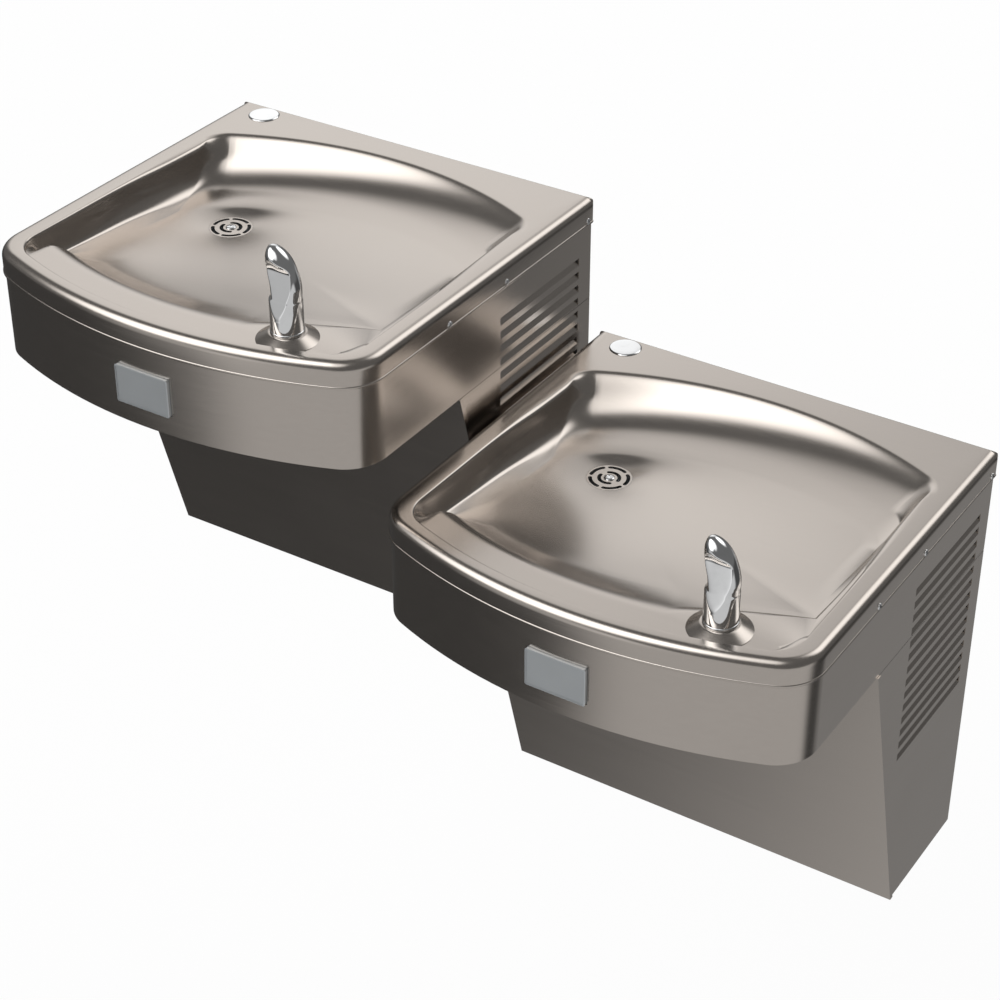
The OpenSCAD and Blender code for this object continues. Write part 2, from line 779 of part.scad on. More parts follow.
module front_panel() {
    lip_hw = body_hw + fit_gap;
    color(steel) difference() {
        union() {
            side_sheet(-lip_hw - sheet_t, 2 * (lip_hw + sheet_t), [
                [slope_d(cabinet_top), cabinet_top],
                [slope_d(station_h), station_h],
                [slope_d(station_h) - slope_t, station_h],
                [slope_d(cabinet_top) - slope_t, cabinet_top]]);
            side_sheet(-inside_hw, 2 * inside_hw, [
                [slope_d(apron_low - panel_tuck), apron_low - panel_tuck],
                [slope_d(cabinet_top + sheet_t), cabinet_top + sheet_t],
                [slope_d(cabinet_top + sheet_t) - slope_t, cabinet_top + sheet_t],
                [slope_d(apron_low - panel_tuck) - slope_t, apron_low - panel_tuck]]);
            for (x = [-lip_hw - sheet_t, lip_hw]) side_sheet(x, sheet_t, [
                [slope_d(cabinet_top), cabinet_top],
                [slope_d(station_h), station_h],
                [slope_d(station_h) - panel_lip, station_h],
                [slope_d(cabinet_top) - panel_lip, cabinet_top]]);
            box([-inside_hw, -slope_d(station_h - sheet_t) + sheet_t / 2, -station_h + sheet_t + fit_gap],
                [inside_hw, -slope_d(station_h) + panel_flange, -station_h + 2 * sheet_t + fit_gap]);
        }
        floor_screw_places() cylinder(r = screw_r + run_gap, h = screw_len);
    }
}

module back_frame() {
    top = skirt_h + fit_gap;
    low = station_h - sheet_t - fit_gap;
    color(galvanised) difference() {
        union() {
            box([-inside_hw, -frame_t, -low], [inside_hw, 0, -top]);
            for (x = [-inside_hw, inside_hw - frame_t])
                box([x, -frame_flange, -low], [x + frame_t, 0, -top]);
            for (z = [-top - frame_t, -low])
                box([-inside_hw, -frame_flange, z], [inside_hw, 0, z + frame_t]);
        }
        box([-rough_in_left, -frame_t - overrun, -rough_in_top - rough_in_h],
            [-rough_in_left + rough_in_w, overrun, -rough_in_top]);
        for (x = [-1, 1], z = [-1, 1])
            translate([x * bolt_span_x / 2, overrun, -bolt_drop + z * bolt_span_z / 2])
                rotate([90, 0, 0]) cylinder(r = bolt_hole_r, h = frame_t + 2 * overrun);
        floor_screw_places() cylinder(r = screw_r + run_gap, h = screw_len);
    }
}

// A cone pressed from sheet, open below, its rim trimmed where it meets the step in front
module pedestal() {
    trim_r = front_r - border_front - rim_roll_front - fit_gap;
    color(steel) intersection() {
        translate([bubbler_at.x, bubbler_at.y, -shelf_drop + run_gap]) rotate_extrude() polygon([
            [pedestal_base_r, 0],
            [pedestal_top_r, pedestal_h],
            [shank_hole_r, pedestal_h],
            [shank_hole_r, pedestal_h - sheet_t],
            [pedestal_top_r - sheet_t, pedestal_h - sheet_t],
            [pedestal_base_r - 3 * sheet_t, 0]]);
        translate([(border_left - border_right) / 2, front_r - deck_d, -pedestal_h])
            cylinder(r = trim_r, h = 3 * pedestal_h);
    }
}

// The bubbler's column in rings: height and shift to the left as shares of its height, width of its radius
column_height_shares = [0, 0.4, 0.42, 0.55, 0.68, 0.77, 0.84, 0.9, 0.95, 0.985, 1];
column_lean_shares = [0, 0, -0.015, -0.012, 0.02, 0.045, 0.066, 0.09, 0.112, 0.13, 0.135];
column_width_shares = [1, 1, 0.92, 0.93, 0.93, 0.88, 0.79, 0.66, 0.48, 0.27, 0.08];
column_sides = 28;

// The bubbler's base ring, the low and high ends of its flat front, and the hollow under its hood
base_ring_share = 0.035;
front_low_share = 0.24;
front_high_share = 0.72;
front_depth_share = 0.66;
hollow_r_share = 0.8;
hollow_left_share = 0.4;
hollow_high_share = 0.8;
hollow_shares = [0.8, 0.95, 1.1];

module column() {
    n = column_sides;
    last = len(column_height_shares) - 1;
    polyhedron(
        points = [for (k = [0 : last]) each [for (i = [0 : n - 1])
            let (r = bubbler_r * column_width_shares[k], a = 360 * i / n)
            [r * cos(a) - bubbler_h * column_lean_shares[k], r * sin(a), bubbler_h * column_height_shares[k]]]],
        faces = concat(
            [for (k = [0 : last - 1]) each band((k + 1) * n, k * n, n)],
            [[for (i = [0 : n - 1]) i]],
            [[for (i = [0 : n - 1]) last * n + n - 1 - i]]));
}

// Column with a flat slanted front and a hollow under its leaning hood, and the threaded shank below
module bubbler() {
    base_z = pedestal_h - shelf_drop + run_gap;
    ring_h = bubbler_h * base_ring_share;
    cut_low = bubbler_h * front_low_share;
    cut_high = bubbler_h * front_high_share;
    cut_in = bubbler_r * front_depth_share;
    color(bright) translate([bubbler_at.x, bubbler_at.y, base_z]) {
        cylinder(r = bubbler_r + sheet_t / 2, h = ring_h);
        difference() {
            column();
            rotate([90, 0, 90]) translate([0, 0, -deck_w / 2]) linear_extrude(deck_w) polygon([
                [-bubbler_r, cut_low],
                [-bubbler_r + cut_in, cut_high],
                [-2 * bubbler_r, cut_high + bubbler_r / 2],
                [-2 * bubbler_r, cut_low]]);
            translate([-bubbler_r * hollow_left_share, -bubbler_r, bubbler_h * hollow_high_share])
                scale(hollow_shares) sphere(r = bubbler_r * hollow_r_share, $fn = 20);
        }
        translate([0, 0, -shank_len]) cylinder(r = shank_r, h = shank_len);
    }
}

module lock_nut() {
    top = -shelf_drop - 2 * sheet_t - fit_gap;
    color(brass) translate([bubbler_at.x, bubbler_at.y, top - nut_h]) difference() {
        cylinder(d = nut_across / cos(30), h = nut_h, $fn = 6);
        translate([0, 0, -overrun]) cylinder(r = shank_hole_r, h = nut_h + 2 * overrun);
    }
}

// Push pad: every distance along y is measured back from the pad's front face
pad_front = -deck_d - pad_proud;
pad_back = pad_front + pad_proud + skin_inset + sheet_t + bow_room + fit_gap + pad_lip_t;
valve_front = -bubbler_back - valve_d / 2;
housing_back = valve_front;
housing_front = -deck_d + inner_inset + bow_room + 2 * fit_gap;
plunger_end = housing_back + fit_gap;

module rounded_box(w, h, r, t) {
    rotate([-90, 0, 0]) linear_extrude(t) {
        square([w - 2 * r, h], center = true);
        square([w, h - 2 * r], center = true);
        for (x = [-1, 1], y = [-1, 1]) translate([x * (w / 2 - r), y * (h / 2 - r)]) circle(r);
    }
}

module push_pad() {
    lip_front = pad_back - pad_lip_t;
    color(pad_blue) translate([0, 0, -pad_drop]) {
        translate([0, pad_front, 0]) rounded_box(pad_w, pad_h, pad_corner_r, lip_front - pad_front);
        translate([0, lip_front, 0])
            rounded_box(pad_w + 2 * pad_lip, pad_h + 2 * pad_lip, pad_corner_r, pad_lip_t);
        rod([0, pad_back, 0], [0, plunger_end, 0], plunger_r);
    }
}

module valve_stem() {
    color(brass) translate([0, 0, -pad_drop]) rod([0, plunger_end, 0], [0, plunger_end + stem_in, 0], stem_r);
}

// Coil spring round the plunger, one unbroken tube
spring_len = housing_back - housing_t - pad_back - 2 * fit_gap;
spring_points = [for (i = [0 : spring_turns * spring_ring_steps])
    let (t = i / (spring_turns * spring_ring_steps), a = 360 * spring_turns * t)
    [spring_r * cos(a), mix(spring_wire_r, spring_len - spring_wire_r, t), spring_r * sin(a)]];
spring_rise = (spring_len - 2 * spring_wire_r) / spring_turns;
echo(spring_gap = min([for (i = [0 : spring_ring_steps])
    norm(spring_points[i + spring_ring_steps] - spring_points[i])]) - 2 * spring_wire_r);

module return_spring() {
    n = len(spring_points);
    pts = [for (i = [0 : n - 1])
        let (a = 360 * i / spring_ring_steps,
            out = [cos(a), 0, sin(a)],
            along = unit([-sin(a) * 2 * PI * spring_r, spring_rise, cos(a) * 2 * PI * spring_r]),
            up = cross(along, out))
        each [for (k = [0 : spring_sides - 1]) let (b = 360 * k / spring_sides)
            spring_points[i] + spring_wire_r * (cos(b) * out + sin(b) * up)]];
    last = (n - 1) * spring_sides;
    color(galvanised) translate([0, pad_back + fit_gap, -pad_drop]) polyhedron(
        points = pts,
        faces = concat(
            [for (i = [0 : n - 2]) each band((i + 1) * spring_sides, i * spring_sides, spring_sides)],
            [for (k = [1 : spring_sides - 2]) [0, k + 1, k]],
            [for (k = [1 : spring_sides - 2]) [last, last + k, last + k + 1]]));
}

module pad_housing() {
    room_w = pad_w + 2 * pad_lip + 2 * housing_room;
    room_h = pad_h + 2 * pad_lip + 2 * housing_room;
    color(black) translate([0, 0, -pad_drop]) difference() {
        box([-room_w / 2 - housing_t, housing_front, -room_h / 2 - housing_t],
            [room_w / 2 + housing_t, housing_back, room_h / 2 + housing_t]);
        box([-room_w / 2, housing_front - overrun, -room_h / 2],
            [room_w / 2, housing_back - housing_t, room_h / 2]);
        rod([0, housing_back - housing_t - overrun, 0], [0, housing_back + overrun, 0], plunger_r + run_gap);
    }
}

module valve_body() {
    stem_hole = pad_travel + stem_in + fit_gap;
    color(brass) translate([0, 0, -pad_drop]) difference() {
        union() {
            box([-valve_w / 2, valve_front, -valve_h / 2], [valve_w / 2, valve_front + valve_d, valve_h / 2]);
            rod([valve_w / 2, -bubbler_back, 0], [valve_w / 2 + port_len, -bubbler_back, 0], port_r);
            rod([0, valve_front + valve_d, 0], [0, valve_front + valve_d + port_len, 0], port_r);
        }
        rod([0, valve_front - overrun, 0], [0, valve_front + pad_travel + 2 * fit_gap, 0],
            plunger_r + fit_gap);
        rod([0, valve_front - overrun, 0], [0, valve_front + stem_hole + 2 * fit_gap, 0],
            stem_r + run_gap);
        rod([valve_w / 2, -bubbler_back, 0], [valve_w / 2 + port_len + overrun, -bubbler_back, 0],
            tube_r + run_gap);
        rod([0, valve_front + valve_d, 0], [0, valve_front + valve_d + port_len + overrun, 0],
            tube_r + run_gap);
    }
}

module drain_cup() {
    top = bowl_depth + sheet_t;
    tail_in_r = tail_r - pipe_t - fit_gap;
    color(galvanised) translate([drain_at.x, drain_at.y, 0]) difference() {
        union() {
            translate([0, 0, -top - cup_flange_t - fit_gap]) cylinder(r = cup_flange_r, h = cup_flange_t);
            translate([0, 0, -top - cup_h]) cylinder(r = cup_r + pipe_t, h = cup_h - fit_gap);
            translate([0, 0, -cup_low]) cylinder(r = tail_in_r, h = cup_low - top - cup_h + pipe_t);
        }
        translate([0, 0, -top - cup_h + pipe_t]) difference() {
            cylinder(r = cup_r - pipe_t, h = cup_h + overrun);
            cylinder(r = 2 * strainer_screw_r, h = cup_h - fit_gap - pipe_t);
            for (a = [0, 90]) rotate(a)
                translate([-cup_r, -pipe_t / 2, 0]) cube([2 * cup_r, pipe_t, cup_h / 3]);
        }
        translate([0, 0, -cup_low - overrun])
            cylinder(r = tail_in_r - pipe_t, h = cup_low - top - cup_h + overrun + pipe_t);
        translate([0, 0, -top - cup_h / 2 - overrun])
            cylinder(r = strainer_screw_r + run_gap, h = cup_h);
    }
}

module waste_trap() {
    x = drain_at.x;
    y = drain_at.y;
    top = cup_low - slip_nut_h;
    route = [[x, y, -top], [x, y, -trap_low], [x, y + 2 * trap_bend, -trap_low],
        [x, y + 2 * trap_bend, -trap_out], [x, -back_setback, -trap_out]];
    color(bright) difference() {
        union() {
            tube_run(route, tail_r, trap_bend);
            translate([x, y, -top - slip_nut_h]) cylinder(r = slip_nut_r, h = slip_nut_h);
        }
        rod([x, y, -top + overrun], [x, y, -top - 2 * slip_nut_h], tail_r - pipe_t);
        rod([x, -back_setback + overrun, -trap_out], [x, y + 3 * trap_bend, -trap_out], tail_r - pipe_t);
    }
}

// Tube from the valve to the bubbler's shank, in both stations
module bubbler_feed() {
    shank_low = pedestal_h - shelf_drop - shank_len;
    tube_run([[valve_w / 2 + fit_gap, -bubbler_back, -pad_drop], [bubbler_right, -bubbler_back, -pad_drop],
        [bubbler_right, -bubbler_back, shank_low]], tube_r, tube_bend);
}

module upper_supply() {
    start = valve_front + valve_d + fit_gap;
    color(white) {
        bubbler_feed();
        tube_run([[0, start, -pad_drop], [0, -tube_run_back, -pad_drop], [0, -tube_run_back, -tube_run_low],
            [deck_hw - side_grommet_r * 2, -tube_run_back, -tube_run_low]], tube_r, tube_bend);
    }
}

module lower_supply() {
    start = valve_front + valve_d + fit_gap;
    color(white) {
        bubbler_feed();
        tube_run([[0, start, -pad_drop], [0, -tube_run_back, -pad_drop],
            [0, -tube_run_back, tank_z[1] + tank_cap + fit_gap]], tube_r, tube_bend);
    }
}

// Everything below here is placed in the right station's own frame
module crossover_tube_shape() {
    z = level_drop - tube_run_low;
    start = deck_hw - side_grommet_r * 2 - pitch_x;
    color(copper) {
        rod([start, -tube_run_back, z], [tank_at.x - tank_r - fit_gap, -tube_run_back, z], tube_r);
        difference() {
            rod([start - port_len, -tube_run_back, z], [start + port_len, -tube_run_back, z], port_r);
            rod([start - port_len - overrun, -tube_run_back, z], [start, -tube_run_back, z],
                tube_r + run_gap);
        }
    }
}

module crossover_grommets_shape() {
    z = level_drop - tube_run_low;
    faces = [body_hw - pitch_x, sheet_t - body_hw];
    color(black) for (x = faces) difference() {
        union() {
            for (s = [fit_gap / 2, -sheet_t - side_grommet_t / 2 - fit_gap / 2])
                rod([x + s, -tube_run_back, z], [x + s + side_grommet_t / 2, -tube_run_back, z],
                    side_grommet_r);
            rod([x - sheet_t - side_grommet_t / 2, -tube_run_back, z],
                [x + side_grommet_t / 2, -tube_run_back, z], side_grommet_r - sheet_t - fit_gap);
        }
        rod([x - sheet_t - side_grommet_t - overrun, -tube_run_back, z],
            [x + side_grommet_t + overrun, -tube_run_back, z], tube_r + run_gap);
    }
}

module unit_shelf_shape() {
    low = -station_h + sheet_t + fit_gap;
    color(galvanised) difference() {
        union() {
            box([shelf_x[0], shelf_y[0], -shelf_top - shelf_t], [shelf_x[1], shelf_y[1], -shelf_top]);
            for (x = [shelf_x[0], shelf_x[1] - shelf_t])
                box([x, shelf_y[0], low], [x + shelf_t, shelf_y[1], -shelf_top]);
        }
        grommet_places() translate([0, 0, -shelf_t - overrun])
            cylinder(r = grommet_pin_r + run_gap, h = shelf_t + 2 * overrun);
    }
}

module grommet_places() {
    for (x = [-grommet_x, grommet_x], y = [-grommet_y, grommet_y])
        translate([compressor_at.x + x, compressor_at.y + y, -shelf_top]) children();
}

module compressor_grommets_shape() {
    color(black) grommet_places() {
        cylinder(r = grommet_r, h = grommet_h);
        translate([0, 0, -shelf_t - fit_gap])
            cylinder(r = grommet_pin_r, h = grommet_h + 2 * shelf_t + compressor_plate.z);
    }
}

module compressor_shape() {
    r = compressor_r;
    k = compressor_round;
    h = compressor_h;
    base = grommet_h + fit_gap;
    color(black) translate([compressor_at.x, compressor_at.y, -shelf_top + base]) {
        difference() {
            translate([-compressor_plate.x / 2, -compressor_plate.y / 2, 0]) cube(compressor_plate);
            for (x = [-grommet_x, grommet_x], y = [-grommet_y, grommet_y])
                translate([x, y, -overrun])
                    cylinder(r = grommet_pin_r + run_gap, h = 2 * overrun + compressor_plate.z);
        }
        rotate_extrude() union() {
            square([r - k, h]);
            translate([0, k]) square([r, h - 2 * k]);
            intersection() {
                translate([r - k, k]) circle(k);
                square([r, h]);
            }
            translate([r - k, h - k]) circle(k);
        }
        translate([-r - terminal_box.x / 3, -terminal_box.y / 2, h / 3]) cube(terminal_box);
    }
}

module condenser_shape() {
    fins = floor((condenser_y[1] - condenser_y[0]) / fin_pitch);
    mid_x = (condenser_x[0] + condenser_x[1]) / 2;
    tall = condenser_z[1] - condenser_z[0];
    color(galvanised) {
        for (i = [0 : fins])
            box([condenser_x[0], condenser_y[0] + i * fin_pitch, condenser_z[0]],
                [condenser_x[1], condenser_y[0] + i * fin_pitch + fin_t, condenser_z[1]]);
        for (k = [0 : coil_rows - 1])
            let (z = condenser_z[0] + tall * (k + 0.5) / coil_rows)
            rod([mid_x, condenser_y[0] - fin_pitch / 2, z],
                [mid_x, condenser_y[1] + fin_pitch / 2, z], coil_r);
    }
}

module fan_bracket_shape() {
    low = condenser_z[0] - fit_gap - bracket_t;
    high = condenser_z[1] + fin_pitch;
    front = condenser_y[0] - fin_pitch;
    back = -frame_t - fit_gap;
    color(galvanised) difference() {
        union() {
            box([bracket_x, front, low], [bracket_x + bracket_t, back, high]);
            box([bracket_x, front, low], [condenser_x[1] + fin_pitch, back, low + bracket_t]);
            box([bracket_x - frame_flange, back - bracket_t, low], [bracket_x + bracket_t, back, high]);
        }
        rod([bracket_x - overrun, fan_y, fan_z], [bracket_x + bracket_t + overrun, fan_y, fan_z], fan_hole_r);
        for (y = [line_y, discharge_y]) translate([(condenser_x[0] + condenser_x[1]) / 2, y, low - overrun])
            cylinder(r = line_r + fit_gap, h = bracket_t + 2 * overrun);
    }
}

module fan_motor_shape() {
    color(dark_steel) {
        rod([motor_x[0], fan_y, fan_z], [motor_x[1], fan_y, fan_z], motor_r);
        rod([motor_x[1], fan_y, fan_z], [fan_hub_x[1] - overrun, fan_y, fan_z], motor_shaft_r);
        for (z = [-arm_z, arm_z]) {
            box([motor_x[1] - arm_t, fan_y - arm_y - arm_w / 2, fan_z + z - arm_w / 2],
                [motor_x[1], fan_y + arm_y + arm_w / 2, fan_z + z + arm_w / 2]);
            for (y = [-arm_y, arm_y])
                rod([motor_x[1] - arm_t, fan_y + y, fan_z + z], [bracket_x - fit_gap, fan_y + y, fan_z + z],
                    arm_post_r);
        }
    }
}

module fan_blade_shape() {
    mid = (fan_hub_x[0] + fan_hub_x[1]) / 2;
    color(bright) difference() {
        union() {
            rod([fan_hub_x[0], fan_y, fan_z], [fan_hub_x[1], fan_y, fan_z], fan_hub_r);
            for (i = [0 : fan_blades - 1]) translate([mid, fan_y, fan_z]) rotate([360 * i / fan_blades, 0, 0])
                rotate([0, 0, fan_blade_turn])
                    translate([-fan_blade_t / 2, -fan_blade_w / 2, fan_hub_r - fan_blade_t])
                        cube([fan_blade_t, fan_blade_w, fan_r - fan_hub_r - fan_blade_t]);
        }
        rod([fan_hub_x[0] - overrun, fan_y, fan_z], [fan_hub_x[1] - overrun + fit_gap, fan_y, fan_z],
            motor_shaft_r + run_gap);
    }
}

module chilling_tank_shape() {
    color(foam) translate([tank_at.x, tank_at.y, 0]) {
        translate([0, 0, tank_z[0]]) cylinder(r = tank_r, h = tank_z[1] - tank_z[0]);
        translate([0, 0, tank_z[1]])
            cylinder(r1 = tank_r - tank_cap, r2 = tank_r - 2 * tank_cap, h = tank_cap);
        for (z = [mix(tank_z[0], tank_z[1], 0.2), mix(tank_z[0], tank_z[1], 0.8)])
            translate([-tank_r, 0, z]) cube([2 * tank_r, -tank_at.y - frame_t - fit_gap, tank_strap_w]);
    }
}

module filter_drier_shape() {
    color(copper) {
        rod([drier_x[0] + line_r, line_y, line_z], [drier_x[1] - line_r, line_y, line_z], drier_r);
        rod([drier_x[0], line_y, line_z], [drier_x[1], line_y, line_z], line_r + sheet_t);
    }
}

module refrigerant_lines_shape() {
    coil_x = (condenser_x[0] + condenser_x[1]) / 2;
    compressor_top = -shelf_top + grommet_h + compressor_h;
    color(copper) {
        tube_run([
            [compressor_at.x, discharge_y, compressor_top + fit_gap],
            [compressor_at.x, discharge_y, line_z],
            [coil_x, discharge_y, line_z],
            [coil_x, discharge_y, condenser_z[0] - fit_gap]], line_r, line_bend);
        tube_run([[coil_x, line_y, condenser_z[0] - fit_gap], [coil_x, line_y, line_z],
            [drier_x[1] + fit_gap, line_y, line_z]], line_r, line_bend);
        tube_run([[drier_x[0] - fit_gap, line_y, line_z], [tank_at.x, line_y, line_z],
            [tank_at.x, tank_at.y - tank_r - fit_gap, line_z]], line_r, line_bend);
        tube_run([[tank_at.x, tank_at.y, tank_z[0] - fit_gap], [tank_at.x, tank_at.y, suction_z],
            [compressor_at.x - compressor_r - terminal_box.x, tank_at.y, suction_z]], line_r, line_bend);
    }
}

module thermostat_shape() {
    back = -frame_t - fit_gap;
    s = thermostat_size;
    front = back - s.y;
    color(white) difference() {
        box([thermostat_at.x - s.x / 2, front, thermostat_at.y - s.z / 2],
            [thermostat_at.x + s.x / 2, back, thermostat_at.y + s.z / 2]);
        rod([thermostat_at.x, front - overrun, thermostat_at.y],
            [thermostat_at.x, front + knob_stem + fit_gap, thermostat_at.y], knob_stem_r + run_gap);
    }
}

module thermostat_knob_shape() {
    front = -frame_t - fit_gap - thermostat_size.y;
    color(black) {
        difference() {
            rod([thermostat_at.x, front - fit_gap - knob_h, thermostat_at.y],
                [thermostat_at.x, front - fit_gap, thermostat_at.y], knob_r);
            translate([thermostat_at.x, front - knob_h, thermostat_at.y + knob_r])
                cube([knob_stem_r / 2, knob_h, knob_r], center = true);
        }
        rod([thermostat_at.x, front - fit_gap, thermostat_at.y],
            [thermostat_at.x, front + knob_stem, thermostat_at.y], knob_stem_r);
    }
}

module electrical_box_shape() {
    back = -frame_t - fit_gap;
    color(galvanised) {
        difference() {
            box([box_x[0], box_y, box_z[0]], [box_x[1], back, box_z[1]]);
            box([box_x[0] + box_wall, box_y + box_wall, box_z[0] + box_wall],
                [box_x[1] - box_wall, back - box_wall, box_z[1] - box_wall]);
        }
    }
    color(black) difference() {
        translate([(box_x[0] + box_x[1]) / 2, (box_y + back) / 2, box_z[0] - gland_len])
            cylinder(r = gland_r, h = gland_len);
        translate([(box_x[0] + box_x[1]) / 2, (box_y + back) / 2, box_z[0] - gland_len - overrun])
            cylinder(r = gland_bore_r, h = gland_len + overrun);
    }
}

// Angle stop: its inlet faces the wall, its outlet points up and its handle faces the front
module stop_valve_shape() {
    x = stop_at.x;
    z = stop_at.z;
    top = stop_at.z + stop_body_h / 2;
    inlet_y = stop_at.y + stop_reach;
    stem_y = stop_at.y - stop_reach;
    color(bright) difference() {
        union() {
            translate([x, stop_at.y, z - stop_body_h / 2]) cylinder(r = stop_body_r, h = stop_body_h);
            rod([x, stop_at.y, z], [x, inlet_y, z], stop_bore_r + 2 * pipe_t);
            rod([x, stem_y, z], [x, stop_at.y, z], stop_stem_r + 2 * pipe_t);
        }
        rod([x, inlet_y - stop_bore_len, z], [x, inlet_y + overrun, z], stop_bore_r);
        rod([x, stem_y - overrun, z], [x, stem_y + stop_stem, z], stop_stem_r + run_gap);
        rod([x, stop_at.y, top - stop_bore_len], [x, stop_at.y, top + overrun], tube_r + run_gap);
    }
}

module stop_handle_shape() {
    stem_y = stop_at.y - stop_reach;
    low = stem_y - fit_gap - stop_handle_h;
    color(bright) translate([stop_at.x, 0, stop_at.z]) {
        rod([0, low, 0], [0, stem_y - fit_gap, 0], stop_stem_r + 2 * pipe_t);
        translate([0, low + stop_handle_t / 2, 0])
            cube([stop_handle_w, stop_handle_t, stop_handle_t * 2], center = true);
        for (x = [-stop_handle_w / 2, stop_handle_w / 2])
            rod([x, low, 0], [x, low + stop_handle_t, 0], stop_handle_t);
        rod([0, stem_y - fit_gap, 0], [0, stem_y + stop_stem - fit_gap, 0], stop_stem_r);
    }
}

module inlet_tube_shape() {
    top = stop_at.z + stop_body_h / 2;
    off = stop_at.y - tank_at.y - tube_r;
    reach = tank_at.x - sqrt(pow(tank_r, 2) - pow(off, 2)) - fit_gap;
    color(copper) tube_run([
        [stop_at.x, stop_at.y, top - stop_bore_len + fit_gap],
        [stop_at.x, stop_at.y, inlet_z],
        [reach, stop_at.y, inlet_z]], tube_r, tube_bend);
}

module upper_deck() { at_upper() deck(); }
module upper_strainer() { at_upper() strainer(); }
module upper_strainer_screw() { at_upper() strainer_screw(); }
module upper_hole_plug() { at_upper() hole_plug(); }
module upper_deck_screws() { at_upper() deck_screws(); }
module upper_apron() { at_upper() apron(); }
module upper_cabinet() { at_upper() cabinet(1, tube_run_low); }
module upper_front_panel() { at_upper() front_panel(); }
module upper_panel_screws() { at_upper() panel_screws(); }
module upper_back_frame() { at_upper() back_frame(); }
module upper_pedestal() { at_upper() pedestal(); }
module upper_bubbler() { at_upper() bubbler(); }
module upper_lock_nut() { at_upper() lock_nut(); }
module upper_push_pad() { at_upper() push_pad(); }
module upper_return_spring() { at_upper() return_spring(); }
module upper_valve_stem() { at_upper() valve_stem(); }
module upper_pad_housing() { at_upper() pad_housing(); }
module upper_valve_body() { at_upper() valve_body(); }
module upper_drain_cup() { at_upper() drain_cup(); }
module upper_waste_trap() { at_upper() waste_trap(); }
module upper_supply_tube() { at_upper() upper_supply(); }
module lower_deck() { at_lower() deck(); }
module lower_strainer() { at_lower() strainer(); }
module lower_strainer_screw() { at_lower() strainer_screw(); }
module lower_hole_plug() { at_lower() hole_plug(); }
module lower_deck_screws() { at_lower() deck_screws(); }
module lower_apron() { at_lower() apron(); }
module lower_cabinet() { at_lower() cabinet(-1, tube_run_low - level_drop); }
module lower_front_panel() { at_lower() front_panel(); }
module lower_panel_screws() { at_lower() panel_screws(); }
module lower_back_frame() { at_lower() back_frame(); }
module lower_pedestal() { at_lower() pedestal(); }
module lower_bubbler() { at_lower() bubbler(); }
module lower_lock_nut() { at_lower() lock_nut(); }
module lower_push_pad() { at_lower() push_pad(); }
module lower_return_spring() { at_lower() return_spring(); }
module lower_valve_stem() { at_lower() valve_stem(); }
module lower_pad_housing() { at_lower() pad_housing(); }
module lower_valve_body() { at_lower() valve_body(); }
module lower_drain_cup() { at_lower() drain_cup(); }
module lower_waste_trap() { at_lower() waste_trap(); }
module lower_supply_tube() { at_lower() lower_supply(); }
module crossover_tube() { at_lower() crossover_tube_shape(); }
module crossover_grommets() { at_lower() crossover_grommets_shape(); }
module unit_shelf() { at_lower() unit_shelf_shape(); }
module compressor() { at_lower() compressor_shape(); }
module compressor_grommets() { at_lower() compressor_grommets_shape(); }
module condenser() { at_lower() condenser_shape(); }
module fan_bracket() { at_lower() fan_bracket_shape(); }
module fan_motor() { at_lower() fan_motor_shape(); }
module fan_blade() { at_lower() fan_blade_shape(); }
module chilling_tank() { at_lower() chilling_tank_shape(); }
module filter_drier() { at_lower() filter_drier_shape(); }
module refrigerant_lines() { at_lower() refrigerant_lines_shape(); }
module thermostat() { at_lower() thermostat_shape(); }
module thermostat_knob() { at_lower() thermostat_knob_shape(); }
module electrical_box() { at_lower() electrical_box_shape(); }
module stop_valve() { at_lower() stop_valve_shape(); }
module stop_handle() { at_lower() stop_handle_shape(); }
module inlet_tube() { at_lower() inlet_tube_shape(); }

upper_deck();
upper_strainer();
upper_strainer_screw();
upper_hole_plug();
upper_deck_screws();
upper_apron();
upper_cabinet();
upper_front_panel();
upper_panel_screws();
upper_back_frame();
upper_pedestal();
upper_bubbler();
upper_lock_nut();
upper_push_pad();
upper_return_spring();
upper_valve_stem();
upper_pad_housing();
upper_valve_body();
upper_drain_cup();
upper_waste_trap();
upper_supply_tube();
lower_deck();
lower_strainer();
lower_strainer_screw();
lower_hole_plug();
lower_deck_screws();
lower_apron();
lower_cabinet();
lower_front_panel();
lower_panel_screws();
lower_back_frame();
lower_pedestal();
lower_bubbler();
lower_lock_nut();
lower_push_pad();
lower_return_spring();
lower_valve_stem();
lower_pad_housing();
lower_valve_body();
lower_drain_cup();
lower_waste_trap();
lower_supply_tube();
crossover_tube();
crossover_grommets();
unit_shelf();
compressor();
compressor_grommets();
condenser();
fan_bracket();
fan_motor();
fan_blade();
chilling_tank();
filter_drier();
refrigerant_lines();
thermostat();
thermostat_knob();
electrical_box();
stop_valve();
stop_handle();
inlet_tube();
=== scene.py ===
"""Looks of a two-station wall-hung water cooler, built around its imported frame.

Every length is in metres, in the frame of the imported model: +X runs along the wall to the right,
+Y into the wall and +Z up. Each station's own sizes are measured from the centre of its deck's
back edge, at the height of the deck's top.
"""

import sys
import logging
import math
from abc import ABC, abstractmethod
from collections.abc import Callable, Iterator
from contextlib import contextmanager
from dataclasses import dataclass, field
from enum import Enum
from typing import ClassVar

import bmesh
import bpy
from mathutils import Matrix, Vector


